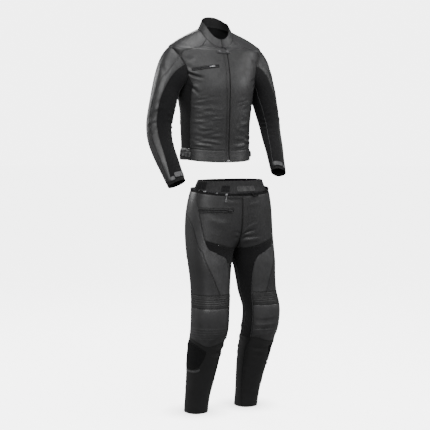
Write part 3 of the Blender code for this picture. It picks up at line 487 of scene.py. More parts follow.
def sleeveRing(turn, level, drop):
    rows = sleeveForm["rows"]
    x, y, z, wide, narrow, twist = readTable(rows, level)
    ahead = unit((readTable(rows, level + 0.01)[:3] - readTable(rows, level - 0.01)[:3]).T)
    outward = unit(np.array([[1.0, 0.0, 0.0]]) - ahead[:, :1] * ahead)
    forward = np.cross(ahead, outward)
    twist = np.radians(twist)
    longAxis = np.cos(twist)[:, None] * outward - np.sin(twist)[:, None] * forward
    shortAxis = np.sin(twist)[:, None] * outward + np.cos(twist)[:, None] * forward
    angle = tau * turn + twist
    z = z - drop * np.clip((level - rows[0][0]) / (rows[-1][0] - rows[0][0]), 0, 1)
    return (
        np.stack((x, y, z), axis=1)
        + (wide * rounded(np.cos(angle)))[:, None] * longAxis
        + (narrow * rounded(np.sin(angle)))[:, None] * shortAxis
    ), ahead


def sleeveAt(turn, level, side):
    first = sleeveForm["rows"][0][0]
    ring, ahead = sleeveRing(turn, np.maximum(level, first), sleeveForm["drop"][side])
    start = torsoAt(*armholeAt(turn))
    span = np.linalg.norm(ring - start, axis=1, keepdims=True)
    leave = unit(np.stack((0.8 + 0 * turn, -0.25 * np.sin(tau * turn), -0.65 + 0 * turn), axis=1))
    part = np.clip(level / first, 0, 1)[:, None]
    rest = 1 - part
    cap = (
        (1 + 2 * part) * rest**2 * start
        + (1 + 2 * rest) * part**2 * ring
        + part * rest * (rest * np.maximum(span, sleeveForm["underarmRound"]) * leave - part * span * ahead)
    )
    points = np.where(level[:, None] < first, cap, ring)
    return points * [-1 if side == "right" else 1, 1, 1]


def legAt(turn, level, side):
    x, halfWidth, y, front, back = readTable(legForm["rows"], level)
    begin = np.arcsin(np.clip(x / halfWidth, 0, 1) ** (roundness / 2))
    angle = -begin + turn * (math.pi + 2 * begin)
    along = rounded(np.cos(angle))
    ahead = along > 0
    reach = np.exp(-level / legForm["dropReach"])
    drop = legForm["frontDrop"] * reach * np.where(ahead, along, 0) ** 1.5
    points = np.stack(
        (
            np.maximum(x + halfWidth * rounded(np.sin(angle)), 0),
            y - np.where(ahead, front, back) * along,
            legForm["top"] - level - drop,
        ),
        axis=1,
    )
    points = points * [-1 if side == "right" else 1, 1, 1]
    return points + [legForm["sideways"], -legForm["forward"], 0]


def bandAt(turn, level):
    halfWidth, front, back, zSide, zFront = readTable(bandForm["rows"], level)
    along = rounded(np.cos(tau * turn))
    ahead = along > 0
    return np.stack(
        (
            halfWidth * rounded(np.sin(tau * turn)) + legForm["sideways"],
            bandForm["forward"] - np.where(ahead, front, back) * along - legForm["forward"],
            legForm["top"] + np.where(ahead, zSide + (zFront - zSide) * np.abs(along), zSide),
        ),
        axis=1,
    )


# Seams of the left side, as (turn, level). The right side has them mirrored

torsoSeams = {
    "zipTurn": 0.0045,
    "waist": 0.052,
    "yokeFront": ((0.140, 0.665), (0.100, 0.600), (0.092, 0.550), (0.107, 0.507), (0.150, 0.487)),
    "yokeBack": ((0.375, 0.665), (0.372, 0.560), (0.350, 0.490)),
    "sideFront": ((0.161, 0.360), (0.150, 0.327), (0.168, 0.290), (0.187, 0.180),
                  (0.193, 0.052), (0.193, 0.0)),
    "sideBack": ((0.256, 0.240), (0.268, 0.170), (0.275, 0.052)),
    "yokeFrontAt": 0.170,  # where seams meet the armhole, in turns round it from the shoulder by the front
    "sideFrontAt": 0.235,
    "pipingAt": 0.420,
    "sideBackAt": 0.580,
    "yokeBackAt": 0.830,
}
sleeveSeams = {
    "strip": ((0.170, 0.000), (0.165, 0.049), (0.143, 0.078), (0.090, 0.111), (0.062, 0.160), (0.055, 0.250),
              (0.070, 0.360), (0.060, 0.450), (0.030, 0.534)),
    "stretch": ((0.235, 0.000), (0.205, 0.060), (0.189, 0.098), (0.157, 0.160), (0.146, 0.230),
                (0.165, 0.350), (0.155, 0.446), (0.105, 0.534)),
    "piping": ((0.420, 0.000), (0.405, 0.080), (0.378, 0.230), (0.382, 0.394), (0.412, 0.534)),
    "trim": 0.014,
}
legSeams = {
    "tape": 0.016,
    "side": 0.565,
    "innerBack": ((1.000, 0.235), (0.940, 0.262), (0.890, 0.330), (0.890, 0.460),
                  (0.900, 0.600), (0.905, 0.672)),
    "front": ((0.410, 0.016), (0.401, 0.047), (0.371, 0.090), (0.337, 0.155), (0.316, 0.224)),
    "stretchTop": ((0.316, 0.224), (0.260, 0.233), (0.205, 0.243), (0.150, 0.257),
                   (0.070, 0.267), (0.000, 0.264)),
    "stretchEnd": ((0.316, 0.224), (0.305, 0.264)),
    "stretchLow": ((0.305, 0.264), (0.272, 0.281), (0.218, 0.300), (0.182, 0.328), (0.152, 0.378),
                   (0.118, 0.465),
                   (0.094, 0.520), (0.088, 0.560), (0.094, 0.672)),
    "diagonal": ((0.565, 0.112), (0.431, 0.171), (0.385, 0.265), (0.347, 0.328),
                 (0.295, 0.394), (0.245, 0.465)),
    "ribTop": 0.465,
    "ribLow": 0.520,
    "knee": 0.672,
    "kneeLow": ((0.094, 0.672), (0.180, 0.674), (0.300, 0.694), (0.430, 0.672), (0.565, 0.654)),
    "kneeBack": ((0.565, 0.654), (0.735, 0.664), (0.905, 0.672)),
    "shin": ((0.094, 0.672), (0.064, 0.740), (0.066, 0.885), (0.100, 1.018)),
}


# Folds: soft ridges and troughs laid on the drawing, with side views like them


def metric(surface, turn, level):
    # metres of cloth for a whole turn and for a metre of level, and the outward direction
    small = 1e-4
    turn, level = np.atleast_1d(np.asarray(turn, float)), np.atleast_1d(np.asarray(level, float))
    alongTurn = (surface(turn + small, level) - surface(turn - small, level)) / (2 * small)
    alongLevel = (surface(turn, level + small) - surface(turn, level - small)) / (2 * small)
    around, down = np.linalg.norm(alongTurn, axis=1), np.linalg.norm(alongLevel, axis=1)
    return np.maximum(around, 0.02), np.maximum(down, 0.3), unit(np.cross(alongTurn, alongLevel))


def foldHeight(surface, folds, turn, level):
    # each fold is turn and level of its two ends, how far its middle bows, its width and its height
    height = np.zeros(len(turn))
    for firstTurn, firstLevel, lastTurn, lastLevel, bow, width, rise in folds:
        middle = ((firstTurn + lastTurn) / 2, (firstLevel + lastLevel) / 2)
        around = float(metric(surface, middle[0], middle[1])[0][0])
        ends = np.array(((firstTurn * around, firstLevel), (lastTurn * around, lastLevel)))
        way = ends[1] - ends[0]
        length = np.linalg.norm(way)
        across = np.array((-way[1], way[0])) / length
        at = np.stack((turn * around, level), axis=1) - ends[0]
        near = np.abs(at @ across) < 3.5 * width + abs(bow)
        part = at[:, 0] * way[0] / length**2 + at[:, 1] * way[1] / length**2
        near &= (part > -0.05) & (part < 1.05)
        part = np.clip(part[near], 0, 1)
        away = (at[near] @ across - bow * 4 * part * (1 - part)) / width
        lean = np.where(away > 0, away * 0.75, away * 1.35)
        body = (
            np.exp(-np.abs(lean) ** 1.8)  # the ridge, then the troughs on its two sides
            - 0.38 * np.exp(-((lean - 1.6) ** 2))
            - 0.30 * np.exp(-((lean + 1.7) ** 2))
        )
        height[near] += rise * np.sin(math.pi * part) ** 0.8 * body
    return height


def manyFolds(seed, count, turns, levels, slope, length, width, rise):
    # a group of like folds, uneven in place, length, width and height
    draw = np.random.default_rng(seed)
    out = []
    for number in range(count):
        turn = draw.uniform(*turns)
        level = levels[0] + (levels[1] - levels[0]) * (number + draw.uniform(0.1, 0.9)) / count
        reach = draw.uniform(*length)
        tilt = draw.normal(slope[0], slope[1])
        out.append((
            turn - reach / 2, level - tilt * reach / 2, turn + reach / 2, level + tilt * reach / 2,
            draw.uniform(-0.006, 0.006), draw.uniform(*width), draw.uniform(*rise),
        ))
    return out


def undulation(points, seed, scale, height):
    # slow unevenness of a hanging skin
    draw = np.random.default_rng(seed)
    total = np.zeros(len(points))
    for _ in range(7):
        way = unit(draw.normal(size=(1, 3)))[0] * tau / (scale * draw.uniform(0.7, 1.5))
        total += np.sin(points @ way + draw.uniform(0, tau))
    return height * total / 7


foldTables = {
    "torso": [
        # chest fold under the pocket and the armpit folds on the right side, then on the left
        (-0.175, 0.386, -0.092, 0.360, -0.004, 0.0060, -0.0045),
        (-0.168, 0.398, -0.105, 0.378, -0.003, 0.0080, 0.0035),
        (-0.172, 0.352, -0.135, 0.318, -0.008, 0.0075, 0.0035),
        (-0.160, 0.340, -0.125, 0.290, -0.006, 0.0080, -0.0025),
        (0.172, 0.372, 0.110, 0.352, 0.004, 0.0080, -0.0028),
        (0.168, 0.345, 0.128, 0.305, 0.006, 0.0085, 0.0028),
        (0.152, 0.430, 0.110, 0.452, 0.004, 0.0100, -0.0020),
        (-0.152, 0.440, -0.100, 0.462, -0.004, 0.0100, -0.0018),
        # above the waistband
        (-0.175, 0.070, -0.060, 0.066, 0.003, 0.0060, 0.0030),
        (-0.150, 0.088, -0.020, 0.080, 0.004, 0.0055, 0.0022),
        (0.020, 0.068, 0.110, 0.074, -0.003, 0.0060, 0.0026),
        (0.085, 0.092, 0.190, 0.074, -0.003, 0.0065, 0.0040),
        (0.100, 0.118, 0.190, 0.096, -0.003, 0.0060, 0.0030),
        # neck
        (-0.020, 0.560, -0.085, 0.585, 0.004, 0.0080, -0.0014),
        (0.030, 0.530, 0.085, 0.575, -0.004, 0.0090, -0.0014),
    ],
    "sleeve": [
        (0.230, 0.205, 0.060, 0.235, 0.004, 0.0090, 0.0020),
        (0.180, 0.262, 0.000, 0.290, 0.004, 0.0080, 0.0022),
        (0.160, 0.300, 0.020, 0.330, -0.004, 0.0080, -0.0018),
        (-0.120, 0.250, -0.300, 0.285, 0.004, 0.0090, 0.0022),
        (-0.140, 0.290, -0.320, 0.300, 0.003, 0.0080, -0.0020),
        (0.150, 0.090, 0.020, 0.060, 0.004, 0.0100, -0.0020),
        (0.480, 0.250, 0.340, 0.275, 0.003, 0.0070, 0.0022),
        (0.500, 0.285, 0.330, 0.300, 0.003, 0.0070, 0.0024),
        (0.480, 0.320, 0.340, 0.325, 0.003, 0.0070, 0.0020),
        (0.040, 0.470, -0.120, 0.480, 0.003, 0.0070, 0.0014),
    ],
    "leg_left": [
        # pulls from the crotch over the thigh
        (0.004, 0.206, 0.105, 0.184, -0.007, 0.0060, -0.0034),
        (0.004, 0.223, 0.090, 0.212, -0.006, 0.0060, -0.0042),
        (0.014, 0.240, 0.175, 0.226, -0.008, 0.0085, 0.0030),
        (0.020, 0.185, 0.120, 0.150, -0.005, 0.0090, 0.0014),
        (0.020, 0.060, 0.160, 0.052, 0.003, 0.0100, 0.0009),
        # knee and shin
        (0.110, 0.690, 0.420, 0.700, 0.006, 0.0080, 0.0036),
        (0.100, 0.715, 0.330, 0.722, 0.006, 0.0065, -0.0030),
        (0.100, 0.585, 0.330, 0.580, 0.004, 0.0065, -0.0024),
        (0.105, 0.606, 0.360, 0.600, 0.004, 0.0060, 0.0026),
        (0.100, 0.626, 0.300, 0.622, 0.004, 0.0055, -0.0026),
        (0.100, 0.650, 0.380, 0.644, 0.004, 0.0065, 0.0028),
        (0.120, 0.735, 0.400, 0.745, 0.004, 0.0070, 0.0024),
        (0.130, 0.765, 0.360, 0.770, 0.004, 0.0075, 0.0020),
        (0.100, 0.800, 0.320, 0.812, 0.003, 0.0080, 0.0016),
    ],
    "leg_right": [
        (0.006, 0.205, 0.070, 0.186, -0.006, 0.0070, -0.0020),
        (0.006, 0.224, 0.080, 0.214, -0.006, 0.0070, -0.0024),
        (0.015, 0.048, 0.150, 0.040, 0.003, 0.0090, 0.0010),
        (0.090, 0.150, 0.260, 0.120, 0.006, 0.0160, 0.0016),
        (0.098, 0.640, 0.230, 0.668, 0.008, 0.0090, 0.0040),
        (0.060, 0.690, 0.300, 0.705, 0.006, 0.0090, 0.0044),
        (0.060, 0.712, 0.260, 0.725, 0.006, 0.0070, -0.0030),
        (0.080, 0.735, 0.300, 0.742, 0.004, 0.0080, 0.0024),
    ],
}
# small creases over the belly, round the back of the waist, inside the elbow and behind the knee
creaseGroups = (
    # where, seed, count, turns, levels, slope and its spread, length, width, rise
    ("torso", 3, 26, (-0.155, -0.040), (0.085, 0.285), (0.06, 0.14), (0.050, 0.120), (0.0038, 0.0085),
     (0.0004, 0.0016)),
    ("torso", 4, 22, (0.040, 0.160), (0.085, 0.270), (-0.06, 0.16), (0.040, 0.110), (0.0038, 0.0085),
     (0.0003, 0.0014)),
    ("torso", 5, 22, (0.32, 0.48), (0.075, 0.250), (0.0, 0.08), (0.06, 0.13), (0.005, 0.009), (0.0012, 0.0026)),
    ("torso", 6, 22, (-0.48, -0.32), (0.075, 0.250), (0.0, 0.08), (0.06, 0.13), (0.005, 0.009), (0.0012, 0.0026)),
    ("sleeve", 7, 12, (0.25, 0.50), (0.150, 0.400), (0.05, 0.05), (0.10, 0.20), (0.005, 0.008), (0.0010, 0.0020)),
)
legCreases = (
    (12, (0.62, 0.95), (0.560, 0.760), (0.02, 0.05), (0.12, 0.26), (0.006, 0.010), (0.0016, 0.0032)),
    (9, (0.60, 0.92), (0.235, 0.330), (0.05, 0.06), (0.12, 0.25), (0.007, 0.011), (0.0015, 0.0030)),
    (10, (0.10, 0.90), (0.780, 1.000), (0.02, 0.05), (0.10, 0.22), (0.008, 0.012), (0.0006, 0.0014)),
)
for place, *group in creaseGroups:
    foldTables[place] += manyFolds(*group)
for side, seed in (("left", 11), ("right", 17)):
    for number, group in enumerate(legCreases):
        foldTables["leg_" + side] += manyFolds(seed + number, *group)

ribs = {
    "turns": (0.100, 0.565), "levels": (0.465, 0.520), "count": 6, "height": 0.0013,
    "kneeTurns": (0.110, 0.530), "kneeLevels": (0.606, 0.662), "kneeCount": 5, "kneeHeight": 0.0016,
}
unevenness = {
    # seed, size and height of the cloth's slow unevenness
    "torso": (21, 0.16, 0.0022),
    "sleeve": (22, 0.11, 0.0016),
    "leg": (23, 0.14, 0.0020),
    "collar": (24, 0.07, 0.0008),
    "band": (25, 0.09, 0.0016),
}
gathers = {"turns": (0.190, 0.310), "count": 10, "height": 0.0048}


def torsoHeight(turn, level):
    height = foldHeight(torsoAt, foldTables["torso"], turn, level)
    side = np.abs(turn)
    part = (side - gathers["turns"][0]) / (gathers["turns"][1] - gathers["turns"][0])
    low = level < torsoSeams["waist"]
    rise = np.clip(np.minimum(level, torsoSeams["waist"] - level) / 0.010, 0, 1)
    fade = np.clip(np.minimum(part, 1 - part) / 0.06, 0, 1)
    height = np.where(low, 0.35 * height, height)
    height += low * rise * fade * gathers["height"] * np.sin(math.pi * gathers["count"] * part) ** 2
    return height + undulation(torsoAt(turn, level), *unevenness["torso"])


def sleeveHeight(turn, level, side):
    height = foldHeight(partial(sleeveAt, side=side), foldTables["sleeve"], turn, level)
    return height + undulation(sleeveAt(turn, level, side), *unevenness["sleeve"])


def ribWave(turn, level, turns, levels, count, height):
    fade = np.clip(np.minimum(turn - turns[0], turns[1] - turn) / 0.02, 0, 1)
    inside = (level > levels[0]) & (level < levels[1])
    wave = np.abs(np.sin(math.pi * count * (level - levels[0]) / (levels[1] - levels[0]))) ** 1.1
    return inside * fade * wave * height


def legHeight(turn, level, side):
    height = foldHeight(partial(legAt, side=side), foldTables["leg_" + side], turn, level)
    height += ribWave(turn, level, *[ribs[name] for name in ("turns", "levels", "count", "height")])
    height += ribWave(turn, level, *[ribs["knee" + name] for name in ("Turns", "Levels", "Count", "Height")])
    height += undulation(legAt(turn, level, side), *unevenness["leg"])
    return height * np.clip(level / 0.03, 0.25, 1)  # held flat by the zip at the top


def collarHeight(turn, level):
    return undulation(collarAt(turn, level), *unevenness["collar"])


def bandHeight(turn, level):
    draw = np.sin(tau * turn * 34 + 1.5 * np.sin(tau * turn * 3)) * 0.0010  # drawn in by the elastic
    return draw * np.clip(level / 0.02, 0, 1) + undulation(bandAt(turn, level), *unevenness["band"])


# Cloth cutting


# groove, puff and gap of a seam; shade is the width of the painted shade along it
seamRelief = {
    "depth": 0.0008, "width": 0.0015, "puff": 0.00012, "puffAt": 0.0048, "puffWidth": 0.0028, "gap": 0.00018,
    "shade": 0.0027,
}
clothGrid = {
    # shares of the cloth's step: cell that one point keeps to itself, free edge, and space between rows
    "cell": 0.42, "largestStep": 0.0062, "edge": 0.35, "row": 0.87,
}
besideSeams = (0.0020, 0.0045)  # rows of points that give a seam its rolled edges


def lengthAlong(points):
    return np.concatenate(([0], np.cumsum(np.linalg.norm(np.diff(points, axis=0), axis=1))))


def pickedAt(stops, reach, line):
    return np.column_stack([np.interp(stops, reach, line[:, axis]) for axis in (0, 1)])


def spaced(surface, points, mode, step):
    # a line's points on the drawing, evenly spaced on the cloth. A join keeps its own points
    points = np.array(points, float)
    if mode == "join":
        return points
    if mode == "curve" and len(points) > 2:
        table = np.column_stack((np.arange(len(points)), points))
        legs = [readTable(table, np.linspace(0, len(points) - 1, 24 * len(points))).T]
    else:
        legs = [np.linspace(first, last, 25) for first, last in zip(points, points[1:])]
    out = [legs[0][:1]]
    for leg in legs:
        reach = lengthAlong(surface(leg[:, 0], leg[:, 1]))
        count = max(1, round(reach[-1] / step))
        stops = np.linspace(0, reach[-1], count + 1)[1:]
        out.append(pickedAt(stops, reach, leg))
    return np.concatenate(out)


def beside(surface, line, off):
    # the line moved sideways over the cloth
    around, down, _ = metric(surface, line[:, 0], line[:, 1])
    way = np.gradient(line, axis=0) * np.stack((around, down), axis=1)
    way /= np.maximum(np.linalg.norm(way, axis=1, keepdims=True), 1e-9)
    return line + np.stack((-way[:, 1] / around, way[:, 0] / down), axis=1) * off


def longer(surface, line, by=0.0016):
    # the line run on at both ends, so that it crosses the seam it meets
    around, down, _ = metric(surface, line[[0, -1], 0], line[[0, -1], 1])
    scale = np.stack((around, down), axis=1)
    first, last = (line[0] - line[1]) * scale[0], (line[-1] - line[-2]) * scale[1]
    first *= by / max(np.linalg.norm(first), 1e-9)
    last *= by / max(np.linalg.norm(last), 1e-9)
    return np.vstack((line[0] + first / scale[0], line, line[-1] + last / scale[1]))


def nearTo(points):
    tree = KDTree(len(points))
    for number, point in enumerate(points):
        tree.insert(point, number)
    tree.balance()
    return tree


def inOneStretch(across, girth):
    # places round a tube, moved by whole turns so that a piece isn't parted by the drawing's cut
    placed = np.sort(across.ravel() % girth)
    gaps = np.diff(np.append(placed, placed[0] + girth))
    widest = int(gaps.argmax())
    if gaps[widest] < 0.1 * girth:
        return across
    start = placed[(widest + 1) % len(placed)]
    return (across - start) % girth


def stretchOf(drawn, placed):
    # how much longer the cloth is than its drawing, across and along
    sides, edges = drawn[:, 1:] - drawn[:, :1], placed[:, 1:] - placed[:, :1]
    area = np.abs(np.linalg.det(sides))
    good = area > 1e-12
    slopes = np.linalg.solve(sides[good], edges[good])
    return np.average(np.linalg.norm(slopes, axis=2), axis=0, weights=area[good])


def openSides(faces, total):
    # the sides that only one triangle has, and that triangle's third corner
    sides = np.concatenate([faces[:, [corner, (corner + 1) % 3]] for corner in range(3)])
    third = np.concatenate([faces[:, (corner + 2) % 3] for corner in range(3)])
    key = np.sort(sides, axis=1) @ (total, 1)
    _, inverse, uses = np.unique(key, return_inverse=True, return_counts=True)
    alone = uses[inverse.ravel()] == 1
    return sides[alone], third[alone]


def shellMesh(name, top, under, faces, border):
    # the two sides of a sheet, joined round its edge
    total = len(top)
    rims = np.stack((border[:, 1], border[:, 0], border[:, 0] + total, border[:, 1] + total), axis=1)
    mesh = bpy.data.meshes.new(name)
    mesh.from_pydata(
        np.concatenate((top, under)), [], faces.tolist() + (faces[:, ::-1] + total).tolist() + rims.tolist()
    )
    return mesh


class Garment:
    # drawings wrapped on their tubes, joined where they meet, and cut into pieces

    def __init__(self, name):
        self.name = name
        self.flat, self.base, self.rise, self.tube = [], [], [], []
        self.faces, self.walls, self.seams, self.tubes = [], [], [], {}
        self.count = 0

    def draw(self, tube, surface, height, turns, levels, lines, flip=False, skip=None, dense=()):
        # lines: kind, mode, points. Cloth is cut at every kind but open
        girth = self.girthOf(tube)
        scale = np.array([girth, 1.0])
        points, edges, walls, rows = [], [], [], []
        for kind, mode, line in lines:
            line = spaced(surface, line, mode, clothStep)
            if mode != "join":
                line = longer(surface, line)
            start = sum(len(part) for part in points)
            points.append(line)
            pairs = [(start + place, start + place + 1) for place in range(len(line) - 1)]
            edges += pairs
            walls += [kind != "open"] * len(pairs)
            if kind != "open":
                world = surface(*spaced(surface, line, "straight", 0.002).T)
                self.seams.append((kind, world))
                rows += [beside(surface, line, side * off) for off in besideSeams for side in (-1, 1)]
        placed = np.concatenate(points)
        cell = clothGrid["cell"] * min(clothStep, clothGrid["largestStep"])
        taken = set()
        for point in placed * scale / cell:
            taken.update(self.cellsRound(point))
        extra = []
        for point in np.concatenate(rows) if rows else []:
            inside = turns[0] < point[0] < turns[1] and levels[0] < point[1] < levels[1]
            spot = point * scale / cell
            if inside and self.cellOf(spot) not in taken:
                extra.append(point)
                taken.update(self.cellsRound(spot))
        for lowTurn, highTurn, lowLevel, highLevel, count in dense:
            lines = np.linspace(lowLevel, highLevel, count + 1)
            across = np.arange(lowTurn, highTurn, clothStep / girth)
            rows = [(turn, place) for place in lines for turn in across]
            rows = [row for row in rows if self.cellOf(np.array(row) * scale / cell) not in taken]
            extra += rows
            for row in rows:
                taken.update(self.cellsRound(np.array(row) * scale / cell))
        edge = clothGrid["edge"] * clothStep
        columns = max(2, round((turns[1] - turns[0]) * girth / clothStep))
        count = max(2, round((levels[1] - levels[0]) / (clothGrid["row"] * clothStep)))
        for row, level in enumerate(np.linspace(*levels, count + 1)):
            across = np.linspace(*turns, columns + 1) + (row % 2) * 0.5 * (turns[1] - turns[0]) / columns
            across = across[(across > turns[0] + edge / girth) & (across < turns[1] - edge / girth)]
            for turn in across if levels[0] + edge < level < levels[1] - edge else ():
                if self.cellOf(np.array((turn, level)) * scale / cell) not in taken:
                    extra.append((turn, level))
        allPoints = np.concatenate((placed, np.array(extra)))
        out, outEdges, faces, fromPoints, fromEdges, _ = delaunay_2d_cdt(
            [Vector(point) for point in (allPoints * scale).tolist()], edges, [], 0, 1e-6
        )
        flat = np.array([tuple(point) for point in out]) / scale
        for number, sources in enumerate(fromPoints):
            if sources:
                flat[number] = allPoints[sources[0]]  # at full precision, so that shared borders meet
        faces = np.array([tuple(face) for face in faces if len(face) == 3])
        middle = flat[faces].mean(axis=1)
        slack = 1e-7
        inside = (middle[:, 0] > turns[0] - slack) & (middle[:, 0] < turns[1] + slack)
        inside &= (middle[:, 1] > levels[0] - slack) & (middle[:, 1] < levels[1] + slack)
        if skip:
            inside &= ~skip(middle[:, 0], middle[:, 1])
        faces = faces[inside]
        self.faces.append((faces[:, ::-1] if flip else faces) + self.count)
        for edge, sources in zip(outEdges, fromEdges):
            if any(walls[source] for source in sources):
                self.walls.append((edge[0] + self.count, edge[1] + self.count))
        self.tubes[tube] = (surface, height, len(self.tubes), -1 if flip else 1)
        self.tube.append(np.full(len(flat), len(self.tubes) - 1))
        self.flat.append(flat)
        self.base.append(surface(flat[:, 0], flat[:, 1]))
        self.rise.append(height(flat[:, 0], flat[:, 1]))
        self.count += len(flat)

    @staticmethod
    def cellOf(spot):
        return int(spot[0] // 1), int(spot[1] // 1)

    def cellsRound(self, spot):
        x, y = self.cellOf(spot)
        return [(x + i, y + j) for i in (-1, 0, 1) for j in (-1, 0, 1)]

    def join(self):
        self.flat, self.base = np.concatenate(self.flat), np.concatenate(self.base)
        self.tube, rise = np.concatenate(self.tube), np.concatenate(self.rise)
        self.faces = np.concatenate(self.faces)
        key = np.round(self.base * 20000).astype(np.int64)
        _, first, self.same = np.unique(key, axis=0, return_index=True, return_inverse=True)
        self.same = self.same.ravel()
        points = self.base[first]
        rise = np.bincount(self.same, rise) / np.bincount(self.same)
        self.hollow, self.ridge = 0 * rise, 0 * rise
        self.merged = self.same[self.faces]
        whole = (self.merged[:, 0] != self.merged[:, 1]) & (self.merged[:, 1] != self.merged[:, 2])
        whole &= self.merged[:, 2] != self.merged[:, 0]
        self.faces, self.merged = self.faces[whole], self.merged[whole]
        normals = self.outward(points)
        if self.seams:
            tree = nearTo(np.concatenate([line for _, line in self.seams]))
            away = np.array([tree.find(point)[2] for point in points])
            look = seamRelief
            # painted shade along the seams and in the fold troughs
            self.hollow = 0.9 * np.exp(-((away / look["shade"]) ** 2)) + np.clip(-rise / 0.008, 0, 0.45)
            # fold crests lighter in colour: rubbed wear with a painted highlight
            self.ridge = np.clip(rise / 0.0034, 0, 1)
            rise = rise - look["depth"] * np.exp(-((away / look["width"]) ** 2))
            rise += look["puff"] * np.exp(-(((away - look["puffAt"]) / look["puffWidth"]) ** 2))
        self.flatPoints = points
        self.points = points + normals * rise[:, None]
        self.normals = self.outward(self.points)
        self.skin = BVHTree.FromPolygons(self.points.tolist(), self.merged.tolist())
        self.label()

    def outward(self, points):
        corners = points[self.merged]
        area = np.cross(corners[:, 1] - corners[:, 0], corners[:, 2] - corners[:, 0])
        normals = np.zeros_like(points)
        for corner in range(3):
            np.add.at(normals, self.merged[:, corner], area)
        return unit(normals)

    def label(self):
        # numbers the pieces that the seams cut apart
        count = len(self.flatPoints)
        walls = self.same[np.array(self.walls, int).reshape(-1, 2)]
        walls = set((np.sort(walls, axis=1) @ (count, 1)).tolist())
        sides = np.concatenate([self.merged[:, [corner, (corner + 1) % 3]] for corner in range(3)])
        key = np.sort(sides, axis=1) @ (count, 1)
        owner = np.tile(np.arange(len(self.merged)), 3)
        order = np.argsort(key, kind="stable")
        key, owner = key[order], owner[order]
        shared = np.nonzero(key[1:] == key[:-1])[0]
        free = np.array([key[place] not in walls for place in shared])
        one, two = owner[shared[free]], owner[shared[free] + 1]
        label = np.arange(len(self.merged))
        while True:
            low = np.minimum(label[one], label[two])
            new = label.copy()
            np.minimum.at(new, label[one], low)
            np.minimum.at(new, label[two], low)
            new = new[new]
            if np.array_equal(new, label):
                break
            label = new
        self.part = label

    def find(self, tube, turn, level):
        corners = self.flat[self.faces]
        away = corners - np.array((turn, level))
        turned = np.stack([
            away[:, i, 0] * away[:, i - 2, 1] - away[:, i, 1] * away[:, i - 2, 0] for i in range(3)
        ])
        hit = (turned.min(0) >= 0) | (turned.max(0) <= 0)
        hit &= self.tube[self.faces[:, 0]] == self.tubes[tube][2]
        return self.part == self.part[np.nonzero(hit)[0][0]]

    def piece(self, name, tube, turn, level, wall, finish, inside="suede"):
        # a piece of cloth with its thickness inwards. Returns it and its cut's size and area
        chosen = self.find(tube, turn, level)
        merged = self.merged[chosen]
        used, faces = np.unique(merged, return_inverse=True)
        faces = faces.reshape(merged.shape)
        points, normals, flatPoints = self.points[used].copy(), self.normals[used], self.flatPoints[used]
        border, apex = openSides(faces, len(used))
        along = points[border[:, 1]] - points[border[:, 0]]
        inward = points[apex] - points[border[:, 0]]
        share = (inward * along).sum(1, keepdims=True) / (along**2).sum(1, keepdims=True)
        inward = unit(inward - along * share)
        pull = np.zeros_like(points)
        for end in (0, 1):
            np.add.at(pull, border[:, end], inward)
        points += unit(pull) * seamRelief["gap"]
        mesh = shellMesh(name, points, points - normals * wall, faces, border)
        drawn = self.flat[self.faces[chosen]] * [self.girthOf(tube), 1]
        drawn[..., 0] = inOneStretch(drawn[..., 0], self.girthOf(tube))
        layer = mesh.uv_layers.new(name="drawing")
        spread = np.concatenate(
            (drawn.reshape(-1, 2), drawn[:, ::-1].reshape(-1, 2), np.zeros((4 * len(border), 2)))
        )
        layer.data.foreach_set("uv", spread.astype(np.float32).ravel())
        for kind in ("hollow", "ridge"):
            shade = np.tile(getattr(self, kind)[used], 2).astype(np.float32)
            mesh.attributes.new(kind, "FLOAT", "POINT").data.foreach_set("value", shade)
        mesh.materials.append(finishes[finish])
        mesh.materials.append(finishes[inside])
        slots = np.zeros(2 * len(faces) + len(border), np.int32)
        slots[len(faces):2 * len(faces)] = 1
        mesh.polygons.foreach_set("material_index", slots)
        mesh.shade_smooth()
        mesh.set_sharp_from_angle(angle=math.radians(58))
        shape = bpy.data.objects.new(name, mesh)
        bpy.context.scene.collection.objects.link(shape)
        corners = flatPoints[faces]
        normal = np.cross(corners[:, 1] - corners[:, 0], corners[:, 2] - corners[:, 0])
        area = np.linalg.norm(normal, axis=1).sum() / 2
        return shape, area, (drawn * stretchOf(drawn, corners)).reshape(-1, 2)

    def girthOf(self, tube):
        return girths[tube.split("_")[0]]


def ladder(*stops, by):
    # places from the first stop to the last, evenly spaced, with every stop kept
    out = [stops[0]]
    for first, last in zip(stops, stops[1:]):
        count = max(1, round((last - first) / by))
        out += [first + (last - first) * place / count for place in range(1, count)] + [last]
    return out


def level(places, height):
    return [(place, height) for place in places]


def plumb(turn, places):
    return [(turn, place) for place in places]


def mirrored(points):
    return [(-turn, height) for turn, height in points]


